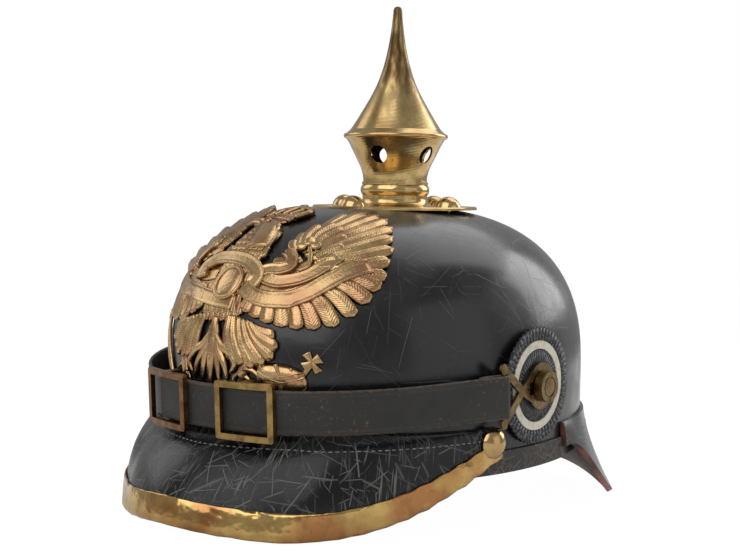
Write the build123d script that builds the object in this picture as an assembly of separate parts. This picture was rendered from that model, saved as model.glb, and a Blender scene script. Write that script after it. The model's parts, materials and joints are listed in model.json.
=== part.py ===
from build123d import *
import math
import os

# Spiked leather helmet, lengths in millimetres. While the parts are built, +Z runs up the spike,
# -Y is the front, +X the wearer's left, and the spike's base plate lies on z = 0. At the end the
# whole helmet is tipped forward until it stands on both visors.

# Leather shell, an oval in plan under a superelliptic dome
shell_half_length = 102.0
shell_half_width = 84.0
shell_centre_y = -8.1
dome_height = 74.6
dome_apex_z = 1.6
wall_height = 30.0
leather = 2.6
dome_power = 2.65
dome_steps = 16

# Spike: base plate, perforated neck and cone
plate_radius = 37.0
plate_thickness = 1.3
collar_radius = 14.6
collar_height = 6.0
skirt_radius = 20.0
bead_radius = 15.5
bead_height = 4.8
neck_ring_radius = 14.9
neck_ring_height = 1.1
neck_waist_radius = 14.4
neck_top_radius = 22.1
neck_height = 25.2
brass_wall = 1.1
neck_flare_shares = ((0.0, 0.0), (0.18, 0.36), (0.48, 0.6), (0.69, 0.78), (1.0, 1.0))
vent_count = 5
vent_radius = 3.8
vent_z = 24.0
vent_first_azimuth = 14.0
flange_radius = 23.4
flange_rim = 2.4
cone_height = 56.4
cone_shares = (
    (0.868, 0.03), (0.735, 0.115), (0.607, 0.204), (0.393, 0.369),
    (0.231, 0.566), (0.128, 0.785), (0.086, 0.95),
)
crown_vent_radius = 11.0

# Four split-pin studs that hold the base plate
stud_circle_radius = 29.5
stud_radius = 5.7
stud_height = 4.6
stud_shank_radius = 1.3
stud_leg_length = 10.0
stud_leg_width = 2.2
stud_leg_thickness = 0.8
washer_side = 8.0
washer_thickness = 0.9

# Cockades and chin strap posts, one pair on each side
post_y = -13.0
post_z = -69.6
cockade_radius = 24.0
cockade_thickness = 0.8
cockade_tooth = 1.3
cockade_teeth = 56
ring_outer_radius = 18.2
ring_inner_radius = 15.0
ring_rise = 0.5
post_shank_radius = 2.0
post_collar_radius = 5.0
post_collar_height = 1.05
post_neck_radius = 3.4
post_head_radius = 6.35
post_head_height = 3.6
post_groove_radius = 4.2
post_groove = 0.5
post_washer_radius = 5.0
nut_radius = 4.2
nut_thickness = 2.4
nut_sides = 6

# Chin strap: two leathers, two hooks and two sliding buckles, built flat about the post axis
strap_droop = 3.0
strap_reach = 104.5
strap_width = 17.0
strap_leather = 1.6
strap_front_radius = 112.0
strap_front_turn = 14.5
strap_corner_radius = 35.0
strap_corner_turn = 26.0
strap_side_turn = 66.0
strap_foldback = 10.0
strap_gap = 0.12
strap_rod_radius = 0.9
strap_rod_reach = 27.2
left_leather_end = 14.1
right_leather_end = 13.4
buckle_azimuth = 10.8
buckle_length = 26.0
buckle_bar = 2.4
buckle_thickness = 2.0
buckle_corner = 1.2
buckle_rear_bar = 0.9
buckle_rear_width = 3.2
hook_thickness = 1.0
hook_ring_radius = 9.5
hook_waist = 14.0
hook_arm_width = 3.4
hook_curl_radius = 2.1
hook_slot_width = 5.0
hook_slot_reach = 9.0

# Both visors thin out by this share of their leather at the seam on the shell
seam_skive_share = 0.5

# Front visor and its brass trim, in sections through an upright line at visor_centre_y
visor_centre_y = -36.5
visor_half_width = 82.7
visor_reach = 102.9
visor_power = 1.8
visor_leather = 2.6
visor_top_z = -81.0
visor_top_fall = 3.2
visor_drop = 40.0
visor_azimuths = (0.0, 15.0, 30.0, 45.0, 60.0, 75.0, 90.0)
visor_drop_shares = (0.842, 0.895, 0.94, 0.893, 0.76, 0.557, 0.36)
visor_root_share = 0.34
visor_lip_share = 0.4
trim_thickness = 0.7
trim_gap = 0.45
trim_outer_height = 5.8
trim_inner_height = 4.5
trim_point_shares = (0.0, 0.33, 0.67)
trim_stud_radius = 5.9
trim_stud_height = 3.0
trim_stud_lift = 0.9
trim_stud_inset = 4.2
trim_stud_drop = 5.4
rivet_radius = 1.2
rivet_head_radius = 2.2
rivet_head_height = 0.5

# Rear visor, in sections through an upright line at guard_centre_y
guard_centre_y = 10.0
guard_half_width = 86.0
guard_reach = 120.0
guard_power = 2.05
guard_leather = 2.8
guard_top_z = -88.0
guard_drop = 48.5
guard_azimuths = (0.0, 15.0, 30.0, 45.0, 60.0, 75.0, 90.0)
guard_drop_shares = (0.825, 0.89, 0.955, 0.885, 0.68, 0.367, 0.206)
guard_root_share = 0.3
guard_lip_share = 0.45

# Leather strips along the shell's lower edge between the two visors
side_strip_height = 9.0
side_strip_thickness = 1.1
side_strip_tongue = 16.0
side_strip_tongue_height = 5.3
side_strip_tongue_end = 1.0

# Brass spine down the back, with its studs
spine_width = 11.0
spine_thickness = 0.9
spine_gap = 0.6
spine_lap = 6.0
spine_hem = 3.0
spine_stud_radius = 3.2
spine_stud_height = 1.6

# Eagle plate, drawn on a plane that leans back against the dome
badge_lean = 33.0
badge_gap = 0.5
badge_sheet = 1.2
badge_relief = 1.3
badge_half_width = 53.0
badge_top_q = -30.0
badge_height = 88.0
loop_x = 27.0
loop_z = -38.0
loop_wire_radius = 0.9
loop_half_height = 4.0
loop_depth = 7.0
loop_slot_clearance = 0.5
wedge_length = 16.0
wedge_width = 5.0
wedge_thickness = 3.0

# Lining: sweatband and the leather fingers above it
sweatband_thickness = 1.3
sweatband_height = 26.0
sweatband_gap = 1.6
sweatband_lift = 1.5
finger_count = 8
finger_thickness = 1.2
finger_width = 42.0
finger_tip_width = 17.0
finger_length = 66.0
finger_lap = 8.0
finger_hole_radius = 1.8
finger_arc_radius = 50.0
finger_bend_radius = 62.0

# Clearances
fit = 0.05
seat_gap = 0.15
running_gap = 0.05
free_gap = 0.3
overrun = 20.0

width_share = shell_half_width / shell_half_length
dome_spring_z = dome_apex_z - dome_height
shell_edge_z = dome_spring_z - wall_height
inner_height = dome_height - dome_apex_z - leather
cockade_back_x = shell_half_width + fit
cockade_front_x = cockade_back_x + cockade_thickness
collar_front_x = cockade_front_x + post_collar_height
hook_back_x = collar_front_x + free_gap
hook_middle_x = hook_back_x + hook_thickness / 2
head_back_x = hook_back_x + hook_thickness + free_gap
buckle_height = strap_width + 2 * (free_gap + buckle_bar)


def form_share(z, height):
    # Share of the plan's half axes that the form keeps at a height
    rise = min(max((z - dome_spring_z) / height, 0), 1)
    return (1 - rise**dome_power) ** (1 / dome_power)


def form_z(x, y, offset, height):
    # Height of the form's surface over a point of the plan
    rho = math.hypot(x / width_share, y - shell_centre_y) / (shell_half_length + offset)
    return dome_spring_z + height * max(1 - rho**dome_power, 0) ** (1 / dome_power)


def form_side_x(y, offset):
    # Half width of the form's upright wall at a place along the helmet
    length = shell_half_length + offset
    return width_share * math.sqrt(max(length**2 - (y - shell_centre_y) ** 2, 0))


def form_line(offset, rise, end_angle):
    # The dome's meridian at an offset, from the top of the wall up to an end angle
    radius = shell_half_length + offset
    power = 2 / dome_power
    points = [(radius, 0, dome_spring_z)]
    for step in range(1, dome_steps + 1):
        angle = end_angle * step / dome_steps
        points.append((radius * math.cos(angle) ** power, 0, dome_spring_z + rise * math.sin(angle) ** power))
    return points


def level_angle(level, rise):
    # Angle of the meridian at which the form reaches a level
    return math.asin(((level - dome_spring_z) / rise) ** (dome_power / 2))


def reach_angle(reach, offset):
    # Angle of the meridian at which the form is a reach away from the axis
    return math.acos((reach / (shell_half_length + offset)) ** (dome_power / 2))


def round_band(inner, outer, floor_z, crown_reach, sweep):
    # Round skin between two lines, each an offset, a rise and an end angle
    inner_points = form_line(*inner)
    outer_points = form_line(*outer)
    inner_foot = (inner_points[0][0], 0, floor_z)
    outer_foot = (outer_points[0][0], 0, floor_z)
    top = [outer_points[-1], (crown_reach, 0, outer_points[-1][2]), inner_points[-1]]
    edges = [
        Polyline(inner_points[0], inner_foot, outer_foot, outer_points[0]),
        Spline(*outer_points),
        Polyline(*top) if crown_reach else Line(top[0], top[2]),
        Spline(*inner_points),
    ]
    return revolve(make_face(edges), Axis.Z, revolution_arc=sweep)


def stretch_width(solid, factor):
    return solid.transform_geometry(Matrix([[factor, 0, 0, 0], [0, 1, 0, 0], [0, 0, 1, 0], [0, 0, 0, 1]]))


def to_oval(solid):
    # From the round form to the helmet's oval plan
    return Pos(0, shell_centre_y, 0) * stretch_width(solid, width_share)


def to_round(solid):
    # From the helmet's place to the round form, so that cuts come out true
    return stretch_width(Pos(0, -shell_centre_y, 0) * solid, 1 / width_share)


def wall_band(inner, outer, height):
    # Upright oval band that stands on the shell's lower edge level
    plan = [Ellipse(width_share * r, r) for r in (shell_half_length + outer, shell_half_length + inner)]
    return Pos(0, shell_centre_y, shell_edge_z) * extrude(plan[0] - plan[1], height)


def azimuth_point(azimuth, radius):
    # Plan point at an azimuth from the front, turning towards the wearer's left
    turn = math.radians(azimuth)
    return (radius * math.sin(turn), -radius * math.cos(turn))


def revolved(points):
    # Solid of revolution about Z from a closed outline of radii and heights
    return revolve(make_face(Polyline(*[(r, 0, z) for r, z in points], close=True)), Axis.Z)


def dome_cap(radius, height):
    # Spherical cap that stands on z = 0
    ball = (radius**2 + height**2) / (2 * height)
    half = math.asin(radius / ball) / 2
    middle = (ball * math.sin(half), 0, height - ball + ball * math.cos(half))
    arc = ThreePointArc((radius, 0, 0), middle, (0, 0, height))
    return revolve(make_face([Line((0, 0, 0), (radius, 0, 0)), arc, Line((0, 0, height), (0, 0, 0))]), Axis.Z)


def stud_places():
    return [azimuth_point(azimuth, stud_circle_radius) for azimuth in (0, 90, 180, 270)]


def side_cylinder(radius, inner_x, outer_x, y, z):
    # Cylinder along X on the wearer's left
    length = outer_x - inner_x
    return Pos((inner_x + outer_x) / 2, y, z) * Rot(0, 90, 0) * Cylinder(radius, length)


def make_shell():
    outer = (0, dome_height, level_angle(0, dome_height))
    inner = (-leather, inner_height, reach_angle(crown_vent_radius, -leather))
    holes = [Pos(x, y, 0) * Cylinder(stud_shank_radius + free_gap, overrun) for x, y in stud_places()]
    post = side_cylinder(post_shank_radius + free_gap, shell_half_width / 2, 2 * shell_half_width, post_y, post_z)
    for hole in (post, trim_stud_hole()):
        holes += [hole, mirror(hole, Plane.YZ)]
    holes += [loop_slot(loop_x), loop_slot(-loop_x)]
    for z, y in spine_stud_places():
        holes.append(Pos(0, y, z) * Rot(90, 0, 0) * Cylinder(rivet_radius + seat_gap, overrun))
    shell = round_band(inner, outer, shell_edge_z, crown_vent_radius, 360)
    return to_oval(shell.cut(*[to_round(hole) for hole in holes]))


def make_base_plate():
    inner = collar_radius - brass_wall
    skirt = Spline(
        (skirt_radius, 0, plate_thickness),
        (collar_radius, 0, collar_height * 3 / 4),
        tangents=[(-1, 0, 0), (0, 0, 1)],
    )
    edge_round = plate_thickness / 3
    outline = [
        Line((inner, 0, 0), (plate_radius, 0, 0)),
        Line((plate_radius, 0, 0), (plate_radius, 0, plate_thickness - edge_round)),
        Line((plate_radius, 0, plate_thickness - edge_round), (plate_radius - edge_round, 0, plate_thickness)),
        Line((plate_radius - edge_round, 0, plate_thickness), (skirt_radius, 0, plate_thickness)),
        skirt,
        Line((collar_radius, 0, collar_height * 3 / 4), (collar_radius, 0, collar_height)),
        Line((collar_radius, 0, collar_height), (inner, 0, collar_height)),
        Line((inner, 0, collar_height), (inner, 0, 0)),
    ]
    plate = revolve(make_face(outline), Axis.Z)
    for x, y in stud_places():
        plate -= Pos(x, y, 0) * Cylinder(stud_shank_radius + seat_gap, overrun)
    return plate


def make_spike_neck():
    bead_top = collar_height + bead_height
    ring_top = bead_top + neck_ring_height
    neck_top = collar_height + neck_height
    flare_height = neck_top - ring_top
    outer = [
        (neck_waist_radius + (neck_top_radius - neck_waist_radius) * r, 0, ring_top + flare_height * h)
        for r, h in neck_flare_shares
    ]
    inner = [(x - brass_wall, 0, z) for x, _, z in outer]
    bore = collar_radius - brass_wall
    bead = ThreePointArc(
        (collar_radius, 0, collar_height),
        (bead_radius, 0, collar_height + bead_height / 2),
        (collar_radius, 0, bead_top),
    )
    outline = [
        bead,
        Polyline(
            (collar_radius, 0, bead_top),
            (neck_ring_radius, 0, bead_top),
            (neck_ring_radius, 0, ring_top),
            outer[0],
        ),
        Spline(*outer),
        Line(outer[-1], inner[-1]),
        Spline(*inner),
        Polyline(inner[0], (bore, 0, bead_top), (bore, 0, collar_height), (collar_radius, 0, collar_height)),
    ]
    neck = revolve(make_face(outline), Axis.Z)
    for index in range(vent_count):
        azimuth = vent_first_azimuth + 360 / vent_count * index
        hole = Pos(0, 0, vent_z) * Rot(0, 0, azimuth) * Pos(0, -neck_top_radius / 2, 0) * Rot(90, 0, 0)
        neck -= hole * Cylinder(vent_radius, neck_top_radius + overrun)
    return neck


def make_spike_cone():
    seat_z = collar_height + neck_height
    rim_top = seat_z + flange_rim
    tip_z = rim_top + cone_height
    shoulder = [(flange_radius * r, 0, rim_top + cone_height * h) for r, h in cone_shares]
    rim = ThreePointArc(
        (flange_radius - flange_rim / 2, 0, seat_z),
        (flange_radius, 0, seat_z + flange_rim / 2),
        (flange_radius - flange_rim / 2, 0, rim_top),
    )
    tip = Spline(*shoulder[-1:], (0, 0, tip_z), tangents=[(0, 0, 1), (-1, 0, 0)])
    lip = neck_top_radius - brass_wall
    hollow = [(lip, 0, seat_z), (lip, 0, rim_top)]
    hollow += [(x - brass_wall, 0, z) for x, _, z in shoulder[:4]]
    hollow += [(0, 0, shoulder[5][2])]
    outline = [
        rim,
        Line((flange_radius - flange_rim / 2, 0, rim_top), shoulder[0]),
        Spline(*shoulder),
        tip,
        Line((0, 0, tip_z), hollow[-1]),
        Polyline(*reversed(hollow)),
        Line(hollow[0], (flange_radius - flange_rim / 2, 0, seat_z)),
    ]
    return revolve(make_face(outline), Axis.Z)


def stud_washer_top(x, y):
    # Lowest inner height of the shell over the washer's corners
    half = washer_side / 2
    corners = [(x + sx * half, y + sy * half) for sx in (-1, 1) for sy in (-1, 1)]
    return min(form_z(cx, cy, -leather, inner_height) for cx, cy in corners) - seat_gap


def make_base_stud(x, y):
    washer_bottom = stud_washer_top(x, y) - washer_thickness - fit
    leg_bottom = washer_bottom - stud_leg_thickness
    shank = Cylinder(stud_shank_radius, plate_thickness - leg_bottom, align=(Align.CENTER, Align.CENTER, Align.MIN))
    legs = Box(
        stud_leg_length, stud_leg_width, stud_leg_thickness, align=(Align.CENTER, Align.CENTER, Align.MIN)
    )
    stud = Pos(0, 0, plate_thickness) * dome_cap(stud_radius, stud_height)
    stud += Pos(0, 0, leg_bottom) * shank
    stud += Pos(0, 0, leg_bottom) * legs
    return Pos(x, y, 0) * stud


def make_stud_washer(x, y):
    top = stud_washer_top(x, y)
    washer = Box(washer_side, washer_side, washer_thickness, align=(Align.CENTER, Align.CENTER, Align.MAX))
    washer -= Cylinder(stud_shank_radius + seat_gap, overrun)
    return Pos(x, y, top) * washer


def side_plane(x):
    # Plane that faces the wearer's left, with its own x towards the back
    return Plane(origin=(x, post_y, post_z), x_dir=(0, 1, 0), z_dir=(1, 0, 0))


def make_cockade():
    rim = []
    for step in range(2 * cockade_teeth):
        radius = cockade_radius if step % 2 == 0 else cockade_radius - cockade_tooth
        turn = math.pi * step / cockade_teeth
        rim.append((radius * math.cos(turn), radius * math.sin(turn)))
    disc = extrude(make_face(Polyline(*rim, close=True)), cockade_thickness)
    ring = Circle(ring_outer_radius) - Circle(ring_inner_radius)
    disc += extrude(Pos(0, 0, cockade_thickness) * ring, ring_rise)
    disc -= Cylinder(post_shank_radius + seat_gap, overrun)
    return side_plane(cockade_back_x) * disc


def post_washer_x():
    # The washer's outer face lies on the shell's inner wall
    ends = (post_y - post_washer_radius, post_y + post_washer_radius)
    return min(form_side_x(y, -leather) for y in ends) - free_gap


def make_side_post():
    head_front = head_back_x + post_head_height
    shank_end = post_washer_x() - washer_thickness - nut_thickness - washer_thickness
    post = side_cylinder(post_shank_radius, shank_end, cockade_front_x, post_y, post_z)
    post += side_cylinder(post_collar_radius, cockade_front_x, collar_front_x, post_y, post_z)
    post += side_cylinder(post_neck_radius, collar_front_x, head_back_x, post_y, post_z)
    post += side_cylinder(post_head_radius, head_back_x, head_front, post_y, post_z)
    groove = side_cylinder(post_groove_radius, head_front - post_groove, head_front + overrun, post_y, post_z)
    core = side_cylinder(post_groove_radius - post_groove, head_back_x, head_front + overrun, post_y, post_z)
    return post - (groove - core)


def make_post_washer():
    face = post_washer_x()
    washer = side_cylinder(post_washer_radius, face - washer_thickness, face, post_y, post_z)
    return washer - side_cylinder(post_shank_radius + seat_gap, 0, face + overrun, post_y, post_z)


def make_post_nut():
    face = post_washer_x() - washer_thickness - fit
    nut = extrude(RegularPolygon(nut_radius, nut_sides), nut_thickness)
    nut -= Cylinder(post_shank_radius + running_gap, overrun)
    return side_plane(face - nut_thickness) * nut


def turn_vectors(turn):
    # Outward normal and forward tangent of the strap's centre line at a turn from the front
    angle = math.radians(turn)
    return (math.sin(angle), -math.cos(angle)), (math.cos(angle), math.sin(angle))


def strap_stations(inset, side, start_turn):
    # Points and arc middles along one face of the strap, from its front end to the hook's rod
    corner_normal = turn_vectors(strap_front_turn)[0]
    front_centre = (0, strap_front_radius - strap_reach)
    spread = strap_front_radius - strap_corner_radius
    corner_centre = (
        front_centre[0] + spread * corner_normal[0],
        front_centre[1] + spread * corner_normal[1],
    )
    stretches = [
        (front_centre, strap_front_radius - inset, start_turn, strap_front_turn),
        (corner_centre, strap_corner_radius - inset, strap_front_turn, strap_corner_turn),
    ]
    from_normal = turn_vectors(strap_corner_turn)[0]
    to_normal = turn_vectors(strap_side_turn)[0]
    knee = [c + (strap_corner_radius - inset) * n for c, n in zip(corner_centre, from_normal)]
    rod_offset = strap_rod_radius + fit + strap_leather / 2
    end = (hook_middle_x + rod_offset * to_normal[0], -strap_rod_reach + rod_offset * to_normal[1])
    reach = sum((e - k) * n for e, k, n in zip(end, knee, to_normal))
    side_radius = reach / sum((t - f) * n for t, f, n in zip(to_normal, from_normal, to_normal))
    side_centre = [k - side_radius * n for k, n in zip(knee, from_normal)]
    stretches.append((side_centre, side_radius, strap_corner_turn, strap_side_turn))
    arcs = []
    for centre, radius, first, last in stretches:
        places = []
        for turn in (first, (first + last) / 2, last):
            normal = turn_vectors(turn)[0]
            places.append(tuple(c + (radius + side) * n for c, n in zip(centre, normal)))
        arcs.append(places)
    finish = tuple(e + side * n for e, n in zip(end, to_normal))
    return arcs, finish


def strap_leather_solid(inset, start_turn):
    # Leather band with its end folded back round the hook's rod
    half = strap_leather / 2
    normal, tangent = turn_vectors(strap_side_turn)
    outer_arcs, outer_end = strap_stations(inset, half, start_turn)
    inner_arcs, inner_end = strap_stations(inset, -half, start_turn)
    rod = (hook_middle_x, -strap_rod_reach)
    rounds = []
    for radius in (strap_rod_radius + fit + strap_leather, strap_rod_radius + fit):
        middle = tuple(r + radius * t for r, t in zip(rod, tangent))
        back = tuple(r - radius * n for r, n in zip(rod, normal))
        rounds.append((middle, back))
    outer_tail = tuple(b - strap_foldback * t for b, t in zip(rounds[0][1], tangent))
    inner_tail = tuple(b - strap_foldback * t for b, t in zip(rounds[1][1], tangent))
    edges = [ThreePointArc(*places) for places in outer_arcs]
    edges += [
        Line(outer_arcs[-1][-1], outer_end),
        ThreePointArc(outer_end, *rounds[0]),
        Polyline(rounds[0][1], outer_tail, inner_tail, rounds[1][1]),
        ThreePointArc(rounds[1][1], rounds[1][0], inner_end),
        Line(inner_end, inner_arcs[-1][-1]),
    ]
    edges += [ThreePointArc(*places) for places in inner_arcs]
    edges.append(Line(inner_arcs[0][0], outer_arcs[0][0]))
    return extrude(make_face(edges), strap_width / 2, both=True)


def place_strap(solid):
    # From the strap's flat frame to its drooping place on the posts
    return Pos(0, post_y, post_z) * Rot(strap_droop, 0, 0) * solid


def buckle_ring(inner_radius, outer_radius):
    tall = 2 * buckle_height
    ring = Cylinder(outer_radius, tall) - Cylinder(inner_radius, 2 * tall)
    return Pos(0, strap_front_radius - strap_reach, 0) * ring


def make_buckle():
    # Open frame before the leathers, with its middle bar behind them
    front = strap_front_radius + strap_leather / 2 + free_gap
    rear = strap_front_radius - 3 * strap_leather / 2 - strap_gap - free_gap
    normal, tangent = turn_vectors(buckle_azimuth)
    centre = (strap_front_radius * normal[0], strap_front_radius - strap_reach + strap_front_radius * normal[1], 0)
    face = Plane(origin=centre, x_dir=(*tangent, 0), z_dir=(*normal, 0))
    window = Rectangle(buckle_length - 2 * buckle_bar, buckle_height - 2 * buckle_bar)
    frame = extrude(face * (RectangleRounded(buckle_length, buckle_height, buckle_corner) - window), overrun / 2, both=True)
    frame = frame & buckle_ring(front, front + buckle_thickness)
    bridge = Rectangle(buckle_rear_width, buckle_height) - Rectangle(buckle_rear_width, strap_width + 2 * free_gap)
    legs = extrude(face * bridge, overrun / 2, both=True)
    legs = legs & buckle_ring(rear - buckle_rear_bar, front + buckle_thickness / 2)
    bar = extrude(face * Rectangle(buckle_rear_width, buckle_height), overrun / 2, both=True)
    bar = bar & buckle_ring(rear - buckle_rear_bar, rear)
    return frame + legs + bar


def hook_bar(start, end, width):
    # Flat bar with round ends between two points of the hook
    run = Vector(*end) - Vector(*start)
    middle = (Vector(*start) + Vector(*end)) / 2
    turn = math.degrees(math.atan2(run.Y, run.X))
    return Pos(middle.X, middle.Y) * Rot(0, 0, turn) * SlotOverall(run.length + width, width)


def make_hook():
    # Brass hook: ring round the post, crossed arms, curls beside the strap and a rod in its fold
    curl_y = strap_width / 2 + free_gap + hook_curl_radius
    plan = Circle(hook_ring_radius)
    for side in (-1, 1):
        plan += hook_bar((-hook_waist, 0), (-strap_rod_reach, side * curl_y), hook_arm_width)
        plan += hook_bar((-hook_waist, 0), (0, side * (hook_ring_radius - hook_arm_width / 2)), hook_arm_width)
        plan += Pos(-strap_rod_reach, side * curl_y) * Circle(hook_curl_radius)
    slot_length = hook_slot_reach - post_neck_radius / 2
    plan -= Pos(-(hook_slot_reach + post_neck_radius / 2) / 2, 0) * Rectangle(slot_length, hook_slot_width)
    plan -= Circle(post_neck_radius + running_gap)
    plate = Plane(origin=(hook_back_x, 0, 0), x_dir=(0, 1, 0), z_dir=(1, 0, 0)) * extrude(plan, hook_thickness)
    normal = turn_vectors(strap_side_turn)[0]
    rod_offset = strap_rod_radius + fit + strap_leather / 2
    plate -= Pos(hook_middle_x, -strap_rod_reach, 0) * strap_pocket()
    plate += Pos(hook_middle_x, -strap_rod_reach, 0) * Cylinder(strap_rod_radius, 2 * curl_y)
    return plate


def strap_pocket():
    # Room that the folded end of the strap needs in the hook
    radius = strap_rod_radius + fit + strap_leather + free_gap
    return Cylinder(radius, strap_width + 2 * free_gap)


def section_frame(azimuth, backwards):
    # Outward unit vector in the plan of an upright section plane
    turn = math.radians(azimuth)
    forward = 1 if backwards else -1
    return (math.sin(turn), forward * math.cos(turn))


def shell_reach(centre_y, direction, offset):
    # Distance from a point on the helmet's middle line to the shell's wall
    length = shell_half_length + offset
    width = width_share * length
    run = centre_y - shell_centre_y
    a = (direction[0] / width) ** 2 + (direction[1] / length) ** 2
    b = 2 * run * direction[1] / length**2
    c = (run / length) ** 2 - 1
    return (-b + math.sqrt(b**2 - 4 * a * c)) / (2 * a)


def edge_reach(direction, half_width, reach, power):
    # Distance to the visor's edge, a superellipse in plan
    return (
        abs(direction[0] / half_width) ** power + abs(direction[1] / reach) ** power
    ) ** (-1 / power)


def bezier_point(poles, t):
    first = 1 - t
    weights = (first**3, 3 * first**2 * t, 3 * first * t**2, t**3)
    return tuple(sum(w * p[i] for w, p in zip(weights, poles)) for i in (0, 1))


def visor_poles(section, offset):
    # Curve of the visor's outer face, moved outwards by an offset, in radius and height
    root, lip = section["root"], section["lip"]
    top_r, top_z, edge_r, edge_z = section["ends"]
    slope = section["slope"]
    normal = (-slope[1], slope[0])
    skive = section["thickness"] * seam_skive_share if offset >= 0 else 0
    return [
        (top_r + offset - skive, top_z),
        (top_r + offset, top_z - root),
        (edge_r - lip * slope[0] + offset * normal[0], edge_z - lip * slope[1] + offset * normal[1]),
        (edge_r + offset * normal[0], edge_z + offset * normal[1]),
    ]


def visor_section(kind, azimuth, share, root_share, lip_share):
    # One upright section: the flange on the shell, the flare and the edge
    backwards = kind == "guard"
    centre_y = guard_centre_y if backwards else visor_centre_y
    direction = section_frame(azimuth, backwards)
    if backwards:
        thickness, top_z, fall, drop = guard_leather, guard_top_z, 0, guard_drop
        size = (guard_half_width, guard_reach, guard_power)
    else:
        thickness, top_z, fall, drop = visor_leather, visor_top_z, visor_top_fall, visor_drop
        size = (visor_half_width, visor_reach, visor_power)
    flange = shell_reach(centre_y, direction, seat_gap) + thickness
    edge = max(edge_reach(direction, *size), flange)
    top = top_z - fall * abs(math.sin(math.radians(azimuth)))
    end = top_z - drop * share
    span = math.hypot(edge - flange, top - end)
    slope_r = edge - flange
    slope_z = end - (top - span * root_share)
    length = math.hypot(slope_r, slope_z)
    return {
        "centre_y": centre_y,
        "direction": direction,
        "thickness": thickness,
        "ends": (flange, top, edge, end),
        "slope": (slope_r / length, slope_z / length),
        "root": span * root_share,
        "lip": span * lip_share,
    }


def place_in_section(section, point):
    # From radius and height in a section to the helmet's frame
    direction = section["direction"]
    return (point[0] * direction[0], section["centre_y"] + point[0] * direction[1], point[1])


def visor_sections():
    table = list(zip(visor_azimuths, visor_drop_shares))
    rows = [(-a, d) for a, d in reversed(table[1:])] + table
    return [visor_section("visor", a, d, visor_root_share, visor_lip_share) for a, d in rows]


def guard_sections():
    table = list(zip(guard_azimuths, guard_drop_shares))
    rows = [(-a, d) for a, d in reversed(table[1:])] + table
    return [visor_section("guard", a, d, guard_root_share, guard_lip_share) for a, d in rows]


def visor_solid(sections):
    wires = []
    for section in sections:
        outer = [place_in_section(section, p) for p in visor_poles(section, 0)]
        inner = [place_in_section(section, p) for p in visor_poles(section, -section["thickness"])]
        edges = [Bezier(*outer), Line(outer[-1], inner[-1]), Bezier(*reversed(inner)), Line(inner[0], outer[0])]
        wires.append(Wire(edges))
    return Solid.make_loft(wires)


def length_along(poles, distance):
    # Curve parameter at a distance back from the curve's end
    steps = 60
    walked = 0
    last = bezier_point(poles, 1)
    for step in range(1, steps + 1):
        t = 1 - step / steps
        point = bezier_point(poles, t)
        walked += math.hypot(point[0] - last[0], point[1] - last[1])
        last = point
        if walked >= distance:
            return t
    return 0


def trim_wire(section):
    # Closed outline of the folded brass strip round the visor's edge
    skin = trim_gap + trim_thickness
    thickness = section["thickness"]
    slope = section["slope"]
    outer_t = length_along(visor_poles(section, 0), trim_outer_height)
    inner_t = length_along(visor_poles(section, -thickness), trim_inner_height)
    rows = []
    for offset in (skin, trim_gap):
        upper = visor_poles(section, offset)
        lower = visor_poles(section, -thickness - offset)
        row = [bezier_point(upper, outer_t + (1 - outer_t) * s) for s in trim_point_shares]
        row.append((upper[3][0] + offset * slope[0], upper[3][1] + offset * slope[1]))
        row.append((lower[3][0] + offset * slope[0], lower[3][1] + offset * slope[1]))
        row += [bezier_point(lower, 1 - (1 - inner_t) * s) for s in trim_point_shares[1:]]
        rows.append(row)
    points = [place_in_section(section, p) for p in rows[0] + list(reversed(rows[1]))]
    return Wire(Polyline(*points, close=True).edges())


def make_trim():
    trim = Solid.make_loft([trim_wire(section) for section in visor_sections()])
    length = shell_half_length + trim_gap
    wall = extrude(Ellipse(width_share * length, length), 2 * wall_height)
    trim -= Pos(0, shell_centre_y, shell_edge_z - wall_height) * wall
    return trim - trim_stud_hole() - mirror(trim_stud_hole(), Plane.YZ)


def trim_stud_plane():
    # Plane on the flange at the stud on the end of the trim, square to the shell's wall
    last = visor_sections()[-1]
    y = visor_centre_y - trim_stud_inset
    outwards = (form_side_x(y, 0) / width_share**2, y - shell_centre_y, 0)
    wall = Vector(form_side_x(y, seat_gap), y, last["ends"][1] - trim_stud_drop)
    return Plane(origin=wall + Vector(*outwards).normalized() * visor_leather, z_dir=outwards)


def trim_stud_hole():
    return trim_stud_plane() * Cylinder(rivet_radius + seat_gap, overrun)


def make_trim_stud():
    # Domed stud whose rivet is clinched inside the shell
    seat = trim_gap + trim_thickness + trim_stud_lift
    inner = -visor_leather - leather - 2 * seat_gap
    stud = Pos(0, 0, seat) * dome_cap(trim_stud_radius, trim_stud_height)
    stud += Pos(0, 0, (seat + inner) / 2) * Cylinder(rivet_radius, seat - inner)
    stud += Pos(0, 0, inner - rivet_head_height / 2) * Cylinder(rivet_head_radius, rivet_head_height)
    return trim_stud_plane() * stud


def make_front_visor():
    visor = visor_solid(visor_sections())
    return visor - trim_stud_hole() - mirror(trim_stud_hole(), Plane.YZ)


def make_rear_visor():
    guard = visor_solid(guard_sections())
    for z, y in spine_stud_places():
        guard -= Pos(0, y, z) * Rot(90, 0, 0) * Cylinder(rivet_radius + seat_gap, overrun)
    return guard


def make_side_strip():
    # Leather strip on the shell's lower edge, with a tongue that runs on under the front visor
    strip = wall_band(seat_gap, seat_gap + side_strip_thickness, side_strip_height)
    front = visor_centre_y + free_gap
    outline = Polyline(
        (guard_centre_y - free_gap, 0),
        (guard_centre_y - free_gap, side_strip_height),
        (front, side_strip_height),
        (front, side_strip_tongue_height),
        (front - side_strip_tongue, side_strip_tongue_end),
        (front - side_strip_tongue, 0),
        close=True,
    )
    plane = Plane(origin=(shell_half_width / 2, 0, shell_edge_z), x_dir=(0, 1, 0), z_dir=(1, 0, 0))
    return strip & extrude(plane * make_face(outline), shell_half_width)


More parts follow.
